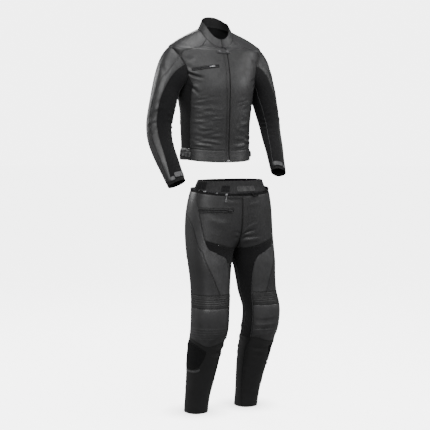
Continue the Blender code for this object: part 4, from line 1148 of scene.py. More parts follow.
def drawJacket():
    garment = Garment("jacket")
    seams, collarTop, neck = torsoSeams, torsoForm["collarHeight"], torsoForm["rows"][-1][0]
    arm = [seams[name] for name in ("yokeFrontAt", "sideFrontAt", "pipingAt", "sideBackAt", "yokeBackAt")]
    hole = ladder(0, *arm, 1, by=clothStep / 0.50)
    half = ladder(seams["zipTurn"], 0.140, 0.375, 0.5, by=clothStep / 0.42)
    neckTurns = [-turn for turn in half[::-1]] + half
    backLevels = ladder(0, seams["waist"], neck, by=clothStep)
    armPoint = [tuple(float(value) for value in armholeAt(turn)) for turn in arm]
    lines = [
        ("neck", "join", level(neckTurns, neck)),
        ("open", "join", plumb(0.5, backLevels)),
        ("open", "join", plumb(-0.5, backLevels)),
    ]
    for side in (list, mirrored):
        lines += [
            ("open", "straight", side(((0, 0), (seams["zipTurn"], 0), (0.193, 0), (0.5, 0)))),
            ("armhole", "join", side(list(zip(*armholeAt(np.array(hole)))))),
            ("zip", "straight", side(plumb(seams["zipTurn"], (0, seams["waist"], neck)))),
            ("waist", "straight", side(level((seams["zipTurn"], 0.193, 0.275, 0.5), seams["waist"]))),
            ("yoke", "curve", side((*seams["yokeFront"], armPoint[0]))),
            ("yoke", "curve", side((*seams["yokeBack"], armPoint[4]))),
            ("side", "curve", side((armPoint[1], *seams["sideFront"]))),
            ("side", "curve", side((armPoint[3], *seams["sideBack"]))),
        ]
    garment.draw("torso", torsoAt, torsoHeight, (-0.5, 0.5), (0, neck), lines, skip=inArmhole)

    lines = [
        ("neck", "join", level(neckTurns, 0)),
        ("open", "join", level(neckTurns, collarTop)),
        ("open", "join", plumb(0.5, ladder(0, collarTop, by=clothStep))),
        ("open", "join", plumb(-0.5, ladder(0, collarTop, by=clothStep))),
        ("zip", "straight", ((seams["zipTurn"], 0), (0.0016, 0.010), (0.0014, collarTop))),
        ("zip", "straight", ((-seams["zipTurn"], 0), (-0.0016, 0.010), (-0.0014, collarTop))),
    ]
    garment.draw(
        "collar", collarAt, collarHeight, (-0.5, 0.5), (0, collarTop), lines,
        skip=lambda turn, height: np.abs(turn) < np.interp(height, (0, 0.010), (seams["zipTurn"], 0.0016)),
    )

    begin, end = seams["sideBackAt"] - 1, seams["sideBackAt"]
    ring = {turn - 1 if turn > end + 1e-9 else turn for turn in hole if 0 < turn < 1}
    ring = sorted(ring | {0.0, begin})
    cuff = sleeveForm["rows"][-1][0]
    trim = cuff - sleeveSeams["trim"]
    cuffTurns = ladder(begin, 0.030, 0.105, 0.412, end, by=clothStep / 0.25)
    underLevels = ladder(0, trim, cuff, by=clothStep)
    for side in ("left", "right"):
        lines = [
            ("armhole", "join", level(ring, 0)),
            ("open", "join", level(cuffTurns, cuff)),
            ("trim", "join", level(cuffTurns, trim)),
            ("strip", "curve", sleeveSeams["strip"]),
            ("stretch", "curve", sleeveSeams["stretch"]),
            ("piping", "curve", sleeveSeams["piping"]),
            ("under", "join", plumb(begin, [place for place in underLevels if place <= trim])),
            ("under", "join", plumb(end, [place for place in underLevels if place <= trim])),
            ("open", "join", plumb(begin, [place for place in underLevels if place >= trim])),
            ("open", "join", plumb(end, [place for place in underLevels if place >= trim])),
        ]
        garment.draw(
            "sleeve_" + side, partial(sleeveAt, side=side), partial(sleeveHeight, side=side),
            (begin, end), (0, cuff), lines, flip=side == "right",
        )
    garment.join()
    return garment


def inArmhole(turn, height):
    low, high = torsoForm["armholeLow"], torsoForm["armholeHigh"]
    along = (height - (high + low) / 2) / ((high - low) / 2)
    wide = torsoForm["armholeTurns"] * (1 - 0.15 * along) * np.sqrt(np.clip(1 - along**2, 0, 1))
    return np.abs(np.abs(turn) - 0.25) < wide


def drawTrousers():
    garment = Garment("trousers")
    seams, tape, length = legSeams, legSeams["tape"], legForm["rows"][-1][0]
    crotch, knee = legForm["crotch"], seams["knee"]
    front = ladder(tape, 0.264, crotch, by=clothStep)
    back = ladder(tape, 0.235, crotch, by=clothStep)
    inner = ladder(crotch, knee, by=clothStep)
    calf = ladder(knee, length, by=clothStep)
    topTurns = ladder(0, 0.410, seams["side"], 1, by=clothStep / legForm["girth"])
    hemTurns = ladder(0, 0.100, seams["side"], 1, by=clothStep / legForm["girth"])
    lines = [
        ("open", "join", level(topTurns, 0)),
        ("tape", "join", level(topTurns, tape)),
        ("open", "join", level(hemTurns, length)),
        ("open", "join", plumb(0, ladder(0, tape, by=clothStep))),
        ("open", "join", plumb(1, ladder(0, tape, by=clothStep))),
        ("centre", "join", plumb(0, front)),
        ("centre", "join", plumb(1, back)),
        ("inseam", "join", plumb(0, inner)),
        ("inseam", "join", plumb(1, inner)),
        ("open", "join", plumb(0, calf)),
        ("open", "join", plumb(1, calf)),
        ("front", "curve", seams["front"]),
        ("stretch", "curve", seams["stretchTop"]),
        ("stretch", "straight", seams["stretchEnd"]),
        ("stretch", "curve", seams["stretchLow"]),
        ("diagonal", "curve", seams["diagonal"]),
        ("side", "straight", plumb(seams["side"], (tape, length))),
        ("rib", "straight", level((0.118, seams["side"]), seams["ribTop"])),
        ("rib", "straight", level((0.094, seams["side"]), seams["ribLow"])),
        ("knee", "curve", seams["kneeLow"]),
        ("knee", "curve", seams["kneeBack"]),
        ("knee", "straight", level((0.905, 1), knee)),
        ("knee", "straight", level((0, 0.094), knee)),
        ("inner", "curve", seams["innerBack"]),
        ("shin", "curve", seams["shin"]),
    ]
    for side in ("left", "right"):
        garment.draw(
            "leg_" + side, partial(legAt, side=side), partial(legHeight, side=side),
            (0, 1), (0, length), lines, flip=side == "left",
            dense=(
                (*ribs["turns"], *ribs["levels"], 4 * ribs["count"]),
                (*ribs["kneeTurns"], *ribs["kneeLevels"], 4 * ribs["kneeCount"]),
            ),
        )
    garment.join()
    return garment


def drawBand():
    garment = Garment("band")
    depth = bandForm["rows"][-1][0]
    turns = ladder(-0.5, 0.5, by=clothStep / bandForm["girth"])
    sides = ladder(0, depth, by=clothStep)
    lines = [
        ("open", "join", level(turns, 0)),
        ("open", "join", level(turns, depth)),
        ("open", "join", plumb(0.5, sides)),
        ("open", "join", plumb(-0.5, sides)),
    ]
    garment.draw("band", bandAt, bandHeight, (-0.5, 0.5), (0, depth), lines, flip=True)
    garment.join()
    return garment


walls = {"leather": 0.0016, "stretch": 0.0013, "trim": 0.0016, "band": 0.0026}
walls.update(dict.fromkeys(("ribbed", "lower", "rubbedAndLit"), walls["leather"]))
jacketPieces = {
    # piece: tube, a place inside it as turn and level, material, and what it hangs from
    "jacket_front": ("torso", 0.06, 0.25, "leather", "jacket_yoke"),
    "jacket_yoke": ("torso", 0.25, 0.60, "leather", "jacket_collar"),
    "jacket_side": ("torso", 0.23, 0.15, "stretch", "jacket_front"),
    "jacket_waistband": ("torso", 0.10, 0.02, "leather", "jacket_front"),
    "sleeve_outer": ("sleeve", -0.20, 0.30, "leather", "jacket_yoke"),
    "sleeve_strip": ("sleeve", 0.10, 0.30, "leather", "jacket_yoke"),
    "sleeve_front": ("sleeve", 0.25, 0.30, "stretch", "sleeve_strip"),
    "sleeve_under": ("sleeve", 0.50, 0.30, "stretch", "sleeve_outer"),
    "sleeve_cuff": ("sleeve", 0.20, 0.541, "trim", "sleeve_outer"),
}
trouserPieces = {
    "trousers_front": ("leg", 0.20, 0.15, "leather", "trousers_side"),
    # the thigh and knee pieces take the lighter copy: painted highlight
    "trousers_thigh": ("leg", 0.28, 0.36, "rubbedAndLit", "trousers_side"),
    "trousers_side": ("leg", 0.50, 0.25, "leather", "trousers_back"),
    "trousers_back": ("leg", 0.75, 0.30, "leather", "trousers_side"),
    "trousers_crotch": ("leg", 0.08, 0.40, "stretch", "trousers_front"),
    "trousers_inner_back": ("leg", 0.95, 0.45, "stretch", "trousers_back"),
    "trousers_ribs": ("leg", 0.30, 0.49, "ribbed", "trousers_side"),
    "trousers_knee": ("leg", 0.30, 0.57, "rubbedAndLit", "trousers_ribs"),
    # the shin and calf take the darker copy: painted shade on the lower legs
    "trousers_shin": ("leg", 0.25, 0.90, "lower", "trousers_knee"),
    "trousers_calf": ("leg", 0.80, 0.85, "lower", "trousers_back"),
}


def drawnArea(triangles):
    one, two = triangles[:, 1] - triangles[:, 0], triangles[:, 2] - triangles[:, 0]
    return float(np.abs(one[:, 0] * two[:, 1] - one[:, 1] * two[:, 0]).sum() / 2)


def cutSize(drawn, area):
    # smallest rectangle round a piece's drawing, at the size of the cloth
    best = None
    for angle in np.radians(np.arange(0, 90, 3)):
        across = drawn @ (math.cos(angle), math.sin(angle))
        along = drawn @ (-math.sin(angle), math.cos(angle))
        size = (np.ptp(across), np.ptp(along))
        if best is None or size[0] * size[1] < best[0] * best[1]:
            best = size
    scale = math.sqrt(area / drawnArea(drawn.reshape(-1, 3, 2)))
    return float(best[0] * scale), float(best[1] * scale)


def declare(shape, node, area, flat):
    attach(shape, "suit")
    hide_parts(node)
    min(area, flat[0] * flat[1])


def sewPieces(garment, table):
    for name, (tube, turn, place, finish, hangsFrom) in table.items():
        for side in ("left", "right"):
            sign = -1 if side == "right" and tube == "torso" else 1
            own = tube if tube == "torso" else tube + "_" + side
            node = name + "_" + side
            shape, area, drawn = garment.piece(
                node + "_cloth", own, sign * turn, place, walls[finish], finish
            )
            declare(shape, node, area, cutSize(drawn, area))


def sewWhole(garment, name, tube, turn, place, finish, inside="suede", flat=None):
    shape, area, drawn = garment.piece(name + "_cloth", tube, turn, place, walls[finish], finish, inside)
    declare(shape, name, area, flat(area) if flat else cutSize(drawn, area))


jacket = drawJacket()
print("jacket drawn,", len(jacket.points), "points")
sewPieces(jacket, jacketPieces)
sewWhole(jacket, "jacket_back", "torso", 0.499, 0.30, "leather")
sewWhole(jacket, "jacket_waistband_back", "torso", 0.499, 0.02, "leather")
sewWhole(jacket, "jacket_collar", "collar", 0.25, 0.02, "leather")
sewWhole(jacket, "jacket_zip", "torso", 0.001, 0.30, "leather")
trousers = drawTrousers()
print("trousers drawn,", len(trousers.points), "points")
sewPieces(trousers, trouserPieces)
sewWhole(
    trousers, "trousers_zip_tape", "leg_left", 0.30, 0.008, "trim", "trim",
    flat=lambda area: (area / legSeams["tape"], legSeams["tape"]),
)
band = drawBand()
sewWhole(band, "trousers_waistband", "band", 0.20, 0.03, "band", "suede")
print("cloth sewn")


# Tabs, welts, patches and tapes laid on the cloth


def placeOn(garment, tube, turn, level):
    # points on the creased cloth, and the outward direction there
    surface, height, _, sign = garment.tubes[tube]
    turn, level = np.atleast_1d(np.asarray(turn, float)), np.atleast_1d(np.asarray(level, float))
    outward = metric(surface, turn, level)[2] * sign
    return surface(turn, level) + outward * height(turn, level)[:, None], outward


def softCorners(outline, radius, scale):
    points = np.array(outline, float) * scale
    out = []
    for place, corner in enumerate(points):
        before, after = points[place - 1] - corner, points[(place + 1) % len(points)] - corner
        reach = min(radius, 0.45 * np.linalg.norm(before), 0.45 * np.linalg.norm(after))
        one = corner + before / np.linalg.norm(before) * reach
        two = corner + after / np.linalg.norm(after) * reach
        for part in (0, 0.25, 0.5, 0.75, 1):
            out.append((1 - part) ** 2 * one + 2 * part * (1 - part) * corner + part**2 * two)
    out = np.array(out)
    closed = np.vstack((out, out[:1]))
    reach = lengthAlong(closed)
    count = max(12, round(reach[-1] / 0.0030))
    line = pickedAt(np.arange(count) * reach[-1] / count, reach, closed)
    turned = np.roll(line, -1, axis=0)
    if (line[:, 0] * turned[:, 1] - turned[:, 0] * line[:, 1]).sum() < 0:
        line = line[::-1]
    return line


def inset(line, by):
    way = np.roll(line, -1, axis=0) - np.roll(line, 1, axis=0)
    way /= np.linalg.norm(way, axis=1, keepdims=True)
    return line + np.stack((-way[:, 1], way[:, 0]), axis=1) * by


def insideOf(points, line):
    hits = np.zeros(len(points), bool)
    for (x1, y1), (x2, y2) in zip(line, np.roll(line, -1, axis=0)):
        if y1 != y2:
            crosses = (points[:, 1] > min(y1, y2)) & (points[:, 1] <= max(y1, y2))
            hits ^= crosses & (points[:, 0] < x1 + (points[:, 1] - y1) * (x2 - x1) / (y2 - y1))
    return hits


def riding(name, mesh, body="suit"):
    shape = bpy.data.objects.new(name, mesh)
    bpy.context.scene.collection.objects.link(shape)
    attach(shape, body)
    return shape


tabForm = {
    # corner and lift where a tab gives none, spacing of its points, how far in its rows of points lie
    "corner": 0.003, "lift": 0.0004, "step": 0.0042, "rim": (0.0006, 0.0014), "inner": 0.0032,
    "under": 0.0002,  # how far its back reaches into the gap
    "crownWidth": 0.008,
}


def layOn(name, garment, tube, outline, look):
    # a flat piece with rounded edges on the cloth. Returns it
    middle = np.mean(outline, axis=0)
    surface = garment.tubes[tube][0]
    around, down, _ = metric(surface, middle[0], middle[1])
    scale = np.array((around[0], down[0]))
    line = softCorners(outline, look.get("corner", tabForm["corner"]), scale)
    rows = [line, *[inset(line, by) for by in tabForm["rim"]]]
    low, high = line.min(axis=0), line.max(axis=0)
    spans = [np.arange(low[i], high[i], tabForm["step"]) for i in (0, 1)]
    grid = np.stack(np.meshgrid(*spans), axis=-1).reshape(-1, 2)
    grid = grid[insideOf(grid, inset(line, tabForm["inner"]))]
    flat = np.concatenate((*rows, grid))
    count = len(line)
    edges = [(row * count + i, row * count + (i + 1) % count) for row in range(2) for i in range(count)]
    out, _, faces, _, _, _ = delaunay_2d_cdt([Vector(point) for point in flat.tolist()], edges, [], 0, 1e-7)
    out = np.array([tuple(point) for point in out])
    faces = np.array([tuple(face) for face in faces])
    faces = faces[insideOf(out[faces].mean(axis=1), line)]
    wall, lift = look["wall"], look.get("lift", tabForm["lift"])
    tree = nearTo([(*point, 0) for point in line])
    away = np.array([tree.find((*point, 0))[2] for point in out])
    rise = wall * np.sqrt(np.clip(1 - (1 - np.clip(away / (0.9 * wall), 0, 1)) ** 2, 0.08, 1))
    rise += look.get("crown", 0.0) * np.clip(away / tabForm["crownWidth"], 0, 1)
    points, outward = placeOn(garment, tube, out[:, 0] / scale[0], out[:, 1] / scale[1])
    top = points + outward * (lift + rise)[:, None]
    under = points + outward * (lift - tabForm["under"])
    if garment.tubes[tube][3] < 0:
        faces = faces[:, ::-1]
    total = len(out)
    mesh = shellMesh(name, top, under, faces, openSides(faces, total)[0])
    layer = mesh.uv_layers.new(name="drawing")
    corners = np.concatenate([np.array(polygon.vertices) % total for polygon in mesh.polygons])
    layer.data.foreach_set("uv", out[corners].astype(np.float32).ravel())
    mesh.materials.append(finishes[look["finish"]])
    mesh.shade_smooth()
    mesh.set_sharp_from_angle(angle=math.radians(62))
    shape = riding(name, mesh)
    if "replaces" in look:
        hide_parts(look["replaces"])
    area = drawnArea(out[faces])
    size = cutSize(out[faces].reshape(-1, 2), area)
    if "stitch" in look:
        seam = inset(line, look["stitch"]) / scale
        stitchAlong(garment, tube, np.vstack((seam, seam[:1])), lift=lift + wall)
    return shape


# Stitches, drawn as short rounded lengths of thread


stitchLook = {"pitch": 0.0046, "length": 0.0033, "width": 0.00080, "height": 0.00030, "sunk": 0.0003}
seamStep = 0.004  # space between the points of a line that is sewn along
stitchRows = {}  # garment: places, directions and outward directions


def walked(line, points, pitch):
    # evenly spaced places along a line, by its length on the cloth
    reach = lengthAlong(points)
    count = max(2, int(reach[-1] / pitch))
    return pickedAt((np.arange(count) + 0.5) * reach[-1] / count, reach, line)


def stitchAlong(garment, tube, line, lift=0.0):
    points, _ = placeOn(garment, tube, line[:, 0], line[:, 1])
    places = walked(line, points, stitchLook["pitch"])
    way = np.gradient(places, axis=0)
    points, outward = placeOn(garment, tube, places[:, 0], places[:, 1])
    ahead, _ = placeOn(garment, tube, places[:, 0] + 0.02 * way[:, 0], places[:, 1] + 0.02 * way[:, 1])
    if not lift:
        found = [garment.skin.find_nearest(point) for point in points]
        points = np.array([tuple(hit[0]) for hit in found])
    along = unit(ahead - placeOn(garment, tube, places[:, 0], places[:, 1])[0])
    stitchRows.setdefault(garment.name, []).append((points + outward * lift, along, outward))


def stitchSeam(garment, tube, points, mode, offsets):
    line = spaced(garment.tubes[tube][0], points, mode, seamStep)
    for off in offsets:
        stitchAlong(garment, tube, beside(garment.tubes[tube][0], line, off))


def makeStitches():
    half, wide, high = stitchLook["length"] / 2, stitchLook["width"] / 2, stitchLook["height"]
    form = np.array(
        [(-half, 0, -stitchLook["sunk"])]
        + [(end * half * 0.55, *corner) for end in (-1, 1) for corner in ((-wide, 0), (0, high), (wide, 0))]
        + [(half, 0, -stitchLook["sunk"])]
    )
    sides = [(0, 2, 1), (0, 3, 2), (1, 2, 5, 4), (2, 3, 6, 5), (4, 5, 7), (5, 6, 7)]
    for name, rows in stitchRows.items():
        points, along, outward = [np.concatenate([row[i] for row in rows]) for i in range(3)]
        across = unit(np.cross(outward, along))
        outward = np.cross(along, across)
        spots = (
            points[:, None] + form[None, :, :1] * along[:, None]
            + form[None, :, 1:2] * across[:, None] + form[None, :, 2:] * outward[:, None]
        ).reshape(-1, 3)
        faces = [[corner + 8 * number for corner in side] for number in range(len(points)) for side in sides]
        mesh = bpy.data.meshes.new(name + "_stitches")
        mesh.from_pydata(spots, [], faces)
        mesh.materials.append(finishes["thread"])
        mesh.shade_smooth()
        riding(name + "_stitches", mesh)
        print(name, len(points), "stitches")


# Piping and teeth


def cordAlong(name, garment, runs, radius, finish, lift):
    # a thin round cord that follows lines on the cloth
    sides = 6
    spots, faces = [], []
    for tube, points, mode in runs:
        line = spaced(garment.tubes[tube][0], points, mode, seamStep)
        world, outward = placeOn(garment, tube, line[:, 0], line[:, 1])
        world = np.array([tuple(garment.skin.find_nearest(point)[0]) for point in world])
        world = world + outward * lift
        ahead = unit(np.gradient(world, axis=0))
        across = unit(np.cross(ahead, outward))
        start = sum(len(part) for part in spots)
        turns = np.arange(sides) * tau / sides
        ring = world[:, None] + radius * (
            np.cos(turns)[None, :, None] * across[:, None] + np.sin(turns)[None, :, None] * outward[:, None]
        )
        spots.append(ring.reshape(-1, 3))
        for row in range(len(line) - 1):
            for side in range(sides):
                one, two = start + row * sides + side, start + row * sides + (side + 1) % sides
                faces.append((one, one + sides, two + sides, two))
        faces.append([start + side for side in range(sides)])
        faces.append([start + (len(line) - 1) * sides + side for side in reversed(range(sides))])
    mesh = bpy.data.meshes.new(name)
    mesh.from_pydata(np.concatenate(spots), [], faces)
    build = bmesh.new()
    build.from_mesh(mesh)
    bmesh.ops.recalc_face_normals(build, faces=build.faces)
    build.to_mesh(mesh)
    build.free()
    mesh.materials.append(finishes[finish])
    mesh.shade_smooth()
    riding(name, mesh)


def teethAlong(name, garment, tubes, line, look):
    # two interlocked rows of small blocks along a line on the cloth
    spots, faces = [], []
    block = np.array([(x, y, z) for x in (-0.5, 0.5) for y in (-0.5, 0.5) for z in (0, 1)])
    sides = [(0, 1, 3, 2), (4, 6, 7, 5), (0, 4, 5, 1), (2, 3, 7, 6), (1, 5, 7, 3)]
    for tube in tubes:
        route = spaced(garment.tubes[tube][0], line, "straight", seamStep)
        points, _ = placeOn(garment, tube, route[:, 0], route[:, 1])
        places = walked(route, points, look["pitch"])
        points, outward = placeOn(garment, tube, places[:, 0], places[:, 1])
        along = unit(np.gradient(points, axis=0))
        across = unit(np.cross(outward, along))
        odd = np.where(np.arange(len(points)) % 2, 1.0, -1.0)[:, None]
        points = points + outward * look["lift"] + across * odd * look["apart"]
        wide, deep, high = look["tooth"]
        start = sum(len(part) for part in spots)
        spots.append((
            points[:, None] + block[None, :, :1] * wide * along[:, None]
            + block[None, :, 1:2] * deep * across[:, None] + block[None, :, 2:] * high * outward[:, None]
        ).reshape(-1, 3))
        firsts = range(start, start + 8 * len(points), 8)
        faces += [[first + corner for corner in side] for first in firsts for side in sides]
    mesh = bpy.data.meshes.new(name)
    mesh.from_pydata(np.concatenate(spots), [], faces)
    mesh.materials.append(finishes[look["finish"]])
    riding(name, mesh)


def box(lowTurn, lowLevel, highTurn, highLevel):
    return ((lowTurn, lowLevel), (highTurn, lowLevel), (highTurn, highLevel), (lowTurn, highLevel))


def slanted(corners, low, high, inLow=0.0, inHigh=1.0):
    # a band between two shares of a four-cornered outline's height and length
    first, second, third, last = np.array(corners)

    def spot(along, up):
        low = first * (1 - along) + second * along
        high = last * (1 - along) + third * along
        return tuple(low * (1 - up) + high * up)

    return (spot(inLow, low), spot(inHigh, low), spot(inHigh, high), spot(inLow, high))


chestZip = ((-0.139, 0.391), (-0.026, 0.411), (-0.026, 0.428), (-0.139, 0.406))
pocket = ((0.056, 0.078), (0.360, 0.082), (0.360, 0.099), (0.056, 0.095))
sliderPatch = (
    (0.310, 0.716), (0.420, 0.688), (0.550, 0.668), (0.625, 0.690), (0.640, 0.740),
    (0.610, 0.790), (0.550, 0.806), (0.440, 0.803), (0.370, 0.793), (0.325, 0.752),
)
sliderEdge = (
    (0.345, 0.799), (0.430, 0.809), (0.520, 0.812), (0.560, 0.809), (0.520, 0.821), (0.425, 0.821),
    (0.360, 0.812),
)
tabLook = {"finish": "tab", "slot": "leather"}
lipLook = {"finish": "ribbed", "slot": "leather", "wall": 0.0014, "lift": 0.0006, "corner": 0.0015}
tapeLook = {"finish": "trim", "wall": 0.0006, "corner": 0.002}
strapLook = {"finish": "leather", "wall": 0.0018, "lift": 0.0022, "corner": 0.004, "stitch": 0.0024}
jacketTabs = {
    # piece: tube, outline, and how it is made
    "throat_tab": ("torso", ((-0.024, 0.481), (0.015, 0.481), (0.015, 0.507), (-0.024, 0.507)), {
        "finish": "leather", "wall": 0.0022, "corner": 0.007, "stitch": 0.0026, "crown": 0.0003,
        "replaces": "jacket_throat_tab", "on": "jacket_zip",
    }),
    "chest_zip_tape": (
        "torso", chestZip, {**tapeLook, "replaces": "jacket_chest_zip", "on": "jacket_front_right"},
    ),
}
for name, low, high in (("lower", 0.09, 0.36), ("upper", 0.64, 0.91)):
    jacketTabs["chest_zip_" + name + "_lip"] = (
        "torso", slanted(chestZip, low, high, 0.015, 0.985), {**lipLook, "on": "jacket_front_right"},
    )
for side in ("left", "right"):
    jacketTabs["cuff_tab_" + side] = ("sleeve_" + side, box(0.180, 0.509, 0.400, 0.531), {
        **tabLook, "wall": 0.0018, "corner": 0.005, "stitch": 0.0024,
        "replaces": "sleeve_tab_" + side, "on": "sleeve_front_" + side,
    })
for side in ("left", "right"):
    jacketTabs["cuff_catch_" + side] = ("sleeve_" + side, box(0.100, 0.520, 0.172, 0.537), {
        **tabLook, "wall": 0.0016, "corner": 0.004, "stitch": 0.0022, "on": "sleeve_front_" + side,
    })
for side, low, high in (("right", -0.262, -0.186), ("left", 0.186, 0.262)):
    jacketTabs["waist_strap_" + side] = (
        "torso", box(low, 0.012, high, 0.036), {**strapLook, "on": "jacket_waistband_" + side},
    )
trouserTabs = {
    "fly": ("leg_left", ((0.004, 0.024), (0.040, 0.024), (0.040, 0.190), (0.014, 0.205), (0.004, 0.205)), {
        "finish": "leather", "wall": 0.0015, "corner": 0.004, "stitch": 0.0026, "replaces": "trousers_fly",
        "on": "trousers_front_left",
    }),
    "pocket_tape": (
        "leg_right", pocket, {**tapeLook, "replaces": "trousers_pocket", "on": "trousers_front_right"},
    ),
}
for name, low, high in (("lower", 0.64, 0.92), ("upper", 0.08, 0.36)):
    trouserTabs["pocket_" + name + "_lip"] = (
        "leg_right", slanted(pocket, low, high, 0.01, 0.99), {**lipLook, "on": "trousers_front_right"},
    )
for name, low, high in (("upper", -0.34, -0.16), ("lower", 1.16, 1.34)):
    trouserTabs["pocket_welt_" + name] = ("leg_right", slanted(pocket, low, high, -0.01, 1.01), {
        "finish": "ribbed", "slot": "leather", "wall": 0.0010, "corner": 0.0014, "on": "trousers_front_right",
    })
trouserTabs["waist_flap_right"] = ("leg_right", box(0.004, 0.0172, 0.105, 0.0300), {
    "finish": "ribbed", "slot": "leather", "wall": 0.0012, "corner": 0.003, "stitch": 0.0024,
    "on": "trousers_front_right",
})
trouserTabs["strap_end_left"] = ("leg_left", (
    (0.058, 0.0005), (0.074, 0.0005), (0.088, 0.0150), (0.128, 0.0115), (0.132, 0.0215), (0.084, 0.0270),
), {**strapLook, "finish": "trim", "stitch": 0.0022, "on": "trousers_front_left"})
for side in ("left", "right"):
    trouserTabs["knee_patch_" + side] = ("leg_" + side, sliderPatch, {
        "finish": "hook", "wall": 0.0018, "corner": 0.012, "stitch": 0.0030,
        "replaces": "trousers_patch_" + side, "on": "trousers_shin_" + side,
    })
    # a raised roll along the patch's lower edge; its light tab finish paints the highlight there
    trouserTabs["knee_patch_edge_" + side] = ("leg_" + side, sliderEdge, {
        **tabLook, "wall": 0.0022, "corner": 0.006, "crown": 0.0004, "on": "trousers_shin_" + side,
    })
bandTabs = {
    "waist_tab": ("band", box(-0.016, 0.022, 0.062, 0.047), {
        "finish": "leather", "wall": 0.0020, "corner": 0.005, "stitch": 0.0028,
        "replaces": "trousers_waist_tab", "on": "trousers_waistband",
    }),
    "waist_patch_middle": ("band", box(-0.086, 0.018, -0.046, 0.043), {
        "finish": "hook", "wall": 0.0016, "corner": 0.002, "stitch": 0.0020, "on": "trousers_waistband",
    }),
    "waist_patch_side": ("band", box(-0.258, 0.005, -0.176, 0.034), {
        "finish": "hook", "wall": 0.0016, "corner": 0.003, "stitch": 0.0020, "on": "trousers_waistband",
    }),
}

for garment, table in ((jacket, jacketTabs), (trousers, trouserTabs), (band, bandTabs)):
    for name, (tube, outline, look) in table.items():
        layOn(name, garment, tube, outline, look)
print("tabs laid on")


def sewSeams():
    seams, collarTop, neck = torsoSeams, torsoForm["collarHeight"], torsoForm["rows"][-1][0]
    arm = {name: tuple(float(v) for v in armholeAt(seams[name])) for name in seams if name.endswith("At")}
    for side in (list, mirrored):
        flip = 1 if side is list else -1
        for points, mode, offsets in (
            ((*seams["yokeFront"], arm["yokeFrontAt"]), "curve", (0.0028, -0.0028, -0.0068)),
            ((*seams["yokeBack"], arm["yokeBackAt"]), "curve", (0.0028, -0.0028)),
            ((arm["sideFrontAt"], *seams["sideFront"]), "curve", (-0.0028, -0.0066)),
            ((arm["sideBackAt"], *seams["sideBack"]), "curve", (0.0028,)),
            (plumb(seams["zipTurn"], (0.004, neck)), "straight", (-0.0030,)),
            (level((seams["zipTurn"] + 0.002, 0.5), seams["waist"]), "straight", (0.0028,)),
            (level((seams["zipTurn"] + 0.002, 0.5), 0), "straight", (0.0040,)),
        ):
            stitchSeam(jacket, "torso", side(points), mode, [off * flip for off in offsets])
        for height, off in ((collarTop, -0.0040), (0, 0.0032)):
            line = level((seams["zipTurn"] + 0.012, 0.5), height)
            stitchSeam(jacket, "collar", side(line), "straight", (off * flip,))
    hole = np.linspace(-0.165, 0.415, 50)
    for tube in ("sleeve_left", "sleeve_right"):
        stitchSeam(jacket, tube, level(hole, 0.0032), "join", (0.0,))
        stitchSeam(jacket, tube, sleeveSeams["strip"], "curve", (0.0028, -0.0028))
        stitchSeam(jacket, tube, sleeveSeams["stretch"], "curve", (0.0028,))
    inseam = legForm["crotch"]
    for tube in ("leg_left", "leg_right"):
        for points, mode, offsets in (
            (legSeams["front"], "curve", (0.0030, -0.0030)),
            (legSeams["stretchTop"], "curve", (0.0030,)),
            (legSeams["stretchLow"], "curve", (0.0030,)),
            (legSeams["diagonal"], "curve", (0.0032, -0.0032)),
            (plumb(legSeams["side"], (0.020, 0.464)), "straight", (0.0030,)),
            (level((0.120, legSeams["side"]), legSeams["ribTop"]), "straight", (-0.0032,)),
            (level((0.096, legSeams["side"]), legSeams["ribLow"]), "straight", (0.0032,)),
            (legSeams["kneeLow"], "curve", (0.0032, -0.0032)),
            (legSeams["kneeBack"], "curve", (0.0030,)),
            (legSeams["shin"], "curve", (0.0030,)),
            (plumb(legSeams["side"], (0.660, 1.010)), "straight", (0.0030,)),
            (plumb(0.0, (0.020, inseam)), "straight", (0.0030,)),
            (level((0.02, 0.98), legSeams["tape"]), "straight", (0.0030,)),
            (level((0.0, 1.0), legForm["rows"][-1][0]), "straight", (-0.0060,)),
            (((0.555, 0.350), (0.507, 0.402), (0.410, 0.462)), "curve", (0.0, 0.0060)),
        ):
            stitchSeam(trousers, tube, points, mode, offsets)
    stitchSeam(band, "band", level((-0.5, 0.5), 0), "straight", (0.0040,))
    stitchSeam(band, "band", level((-0.5, 0.5), 0.034), "straight", (0.0,))


sewSeams()
makeStitches()
bothSides = ("left", "right")
neckLevel = torsoForm["rows"][-1][0]
cords = {
    # piece: garment, lines it follows, radius, finish and lift from the cloth
    "sleeve_piping": (
        jacket, [("sleeve_" + side, sleeveSeams["piping"], "curve") for side in bothSides],
        0.0011, "piping", 0.0006,
    ),
    "inseam_piping": (
        trousers, [
            *[("leg_" + side, plumb(0, (0.285, 0.45, legSeams["knee"])), "straight") for side in bothSides],
            *[("leg_" + side, legSeams["stretchLow"][3:], "curve") for side in bothSides],
        ],
        0.0013, "piping", 0.0014,
    ),
    "neck_binding": (
        jacket, [("torso", level((0.07 * sign, 0.5 * sign), neckLevel), "straight") for sign in (1, -1)],
        0.0016, "trim", -0.0012,
    ),
    "front_zip_edge": (
        jacket, [("torso", plumb(torsoSeams["zipTurn"], (0.006, 0.30, 0.655)), "straight")],
        0.0016, "trim", 0.0010,
    ),
}
for name, look in cords.items():
    cordAlong(name, *look)
teethLook = {
    "pitch": 0.0016, "tooth": (0.0011, 0.0026, 0.0012), "apart": 0.0007, "lift": 0.0008, "finish": "teeth",
}
wideTeethLook = {
    "pitch": 0.0021, "tooth": (0.0014, 0.0034, 0.0014), "apart": 0.0009, "lift": 0.0003, "finish": "teeth",
}
zipLevel = 0.0035
chestMiddle = slanted(chestZip, 0.5, 0.5, 0.02, 0.98)[:2]
pocketMiddle = slanted(pocket, 0.5, 0.5, 0.02, 0.98)[:2]
teethAlong("chest_zip_teeth", jacket, ["torso"], chestMiddle, teethLook)
teethAlong("pocket_zip_teeth", trousers, ["leg_right"], pocketMiddle, teethLook)
teethAlong("connection_zip_teeth", trousers, ["leg_left", "leg_right"], level((0.0, 1.0), zipLevel), wideTeethLook)
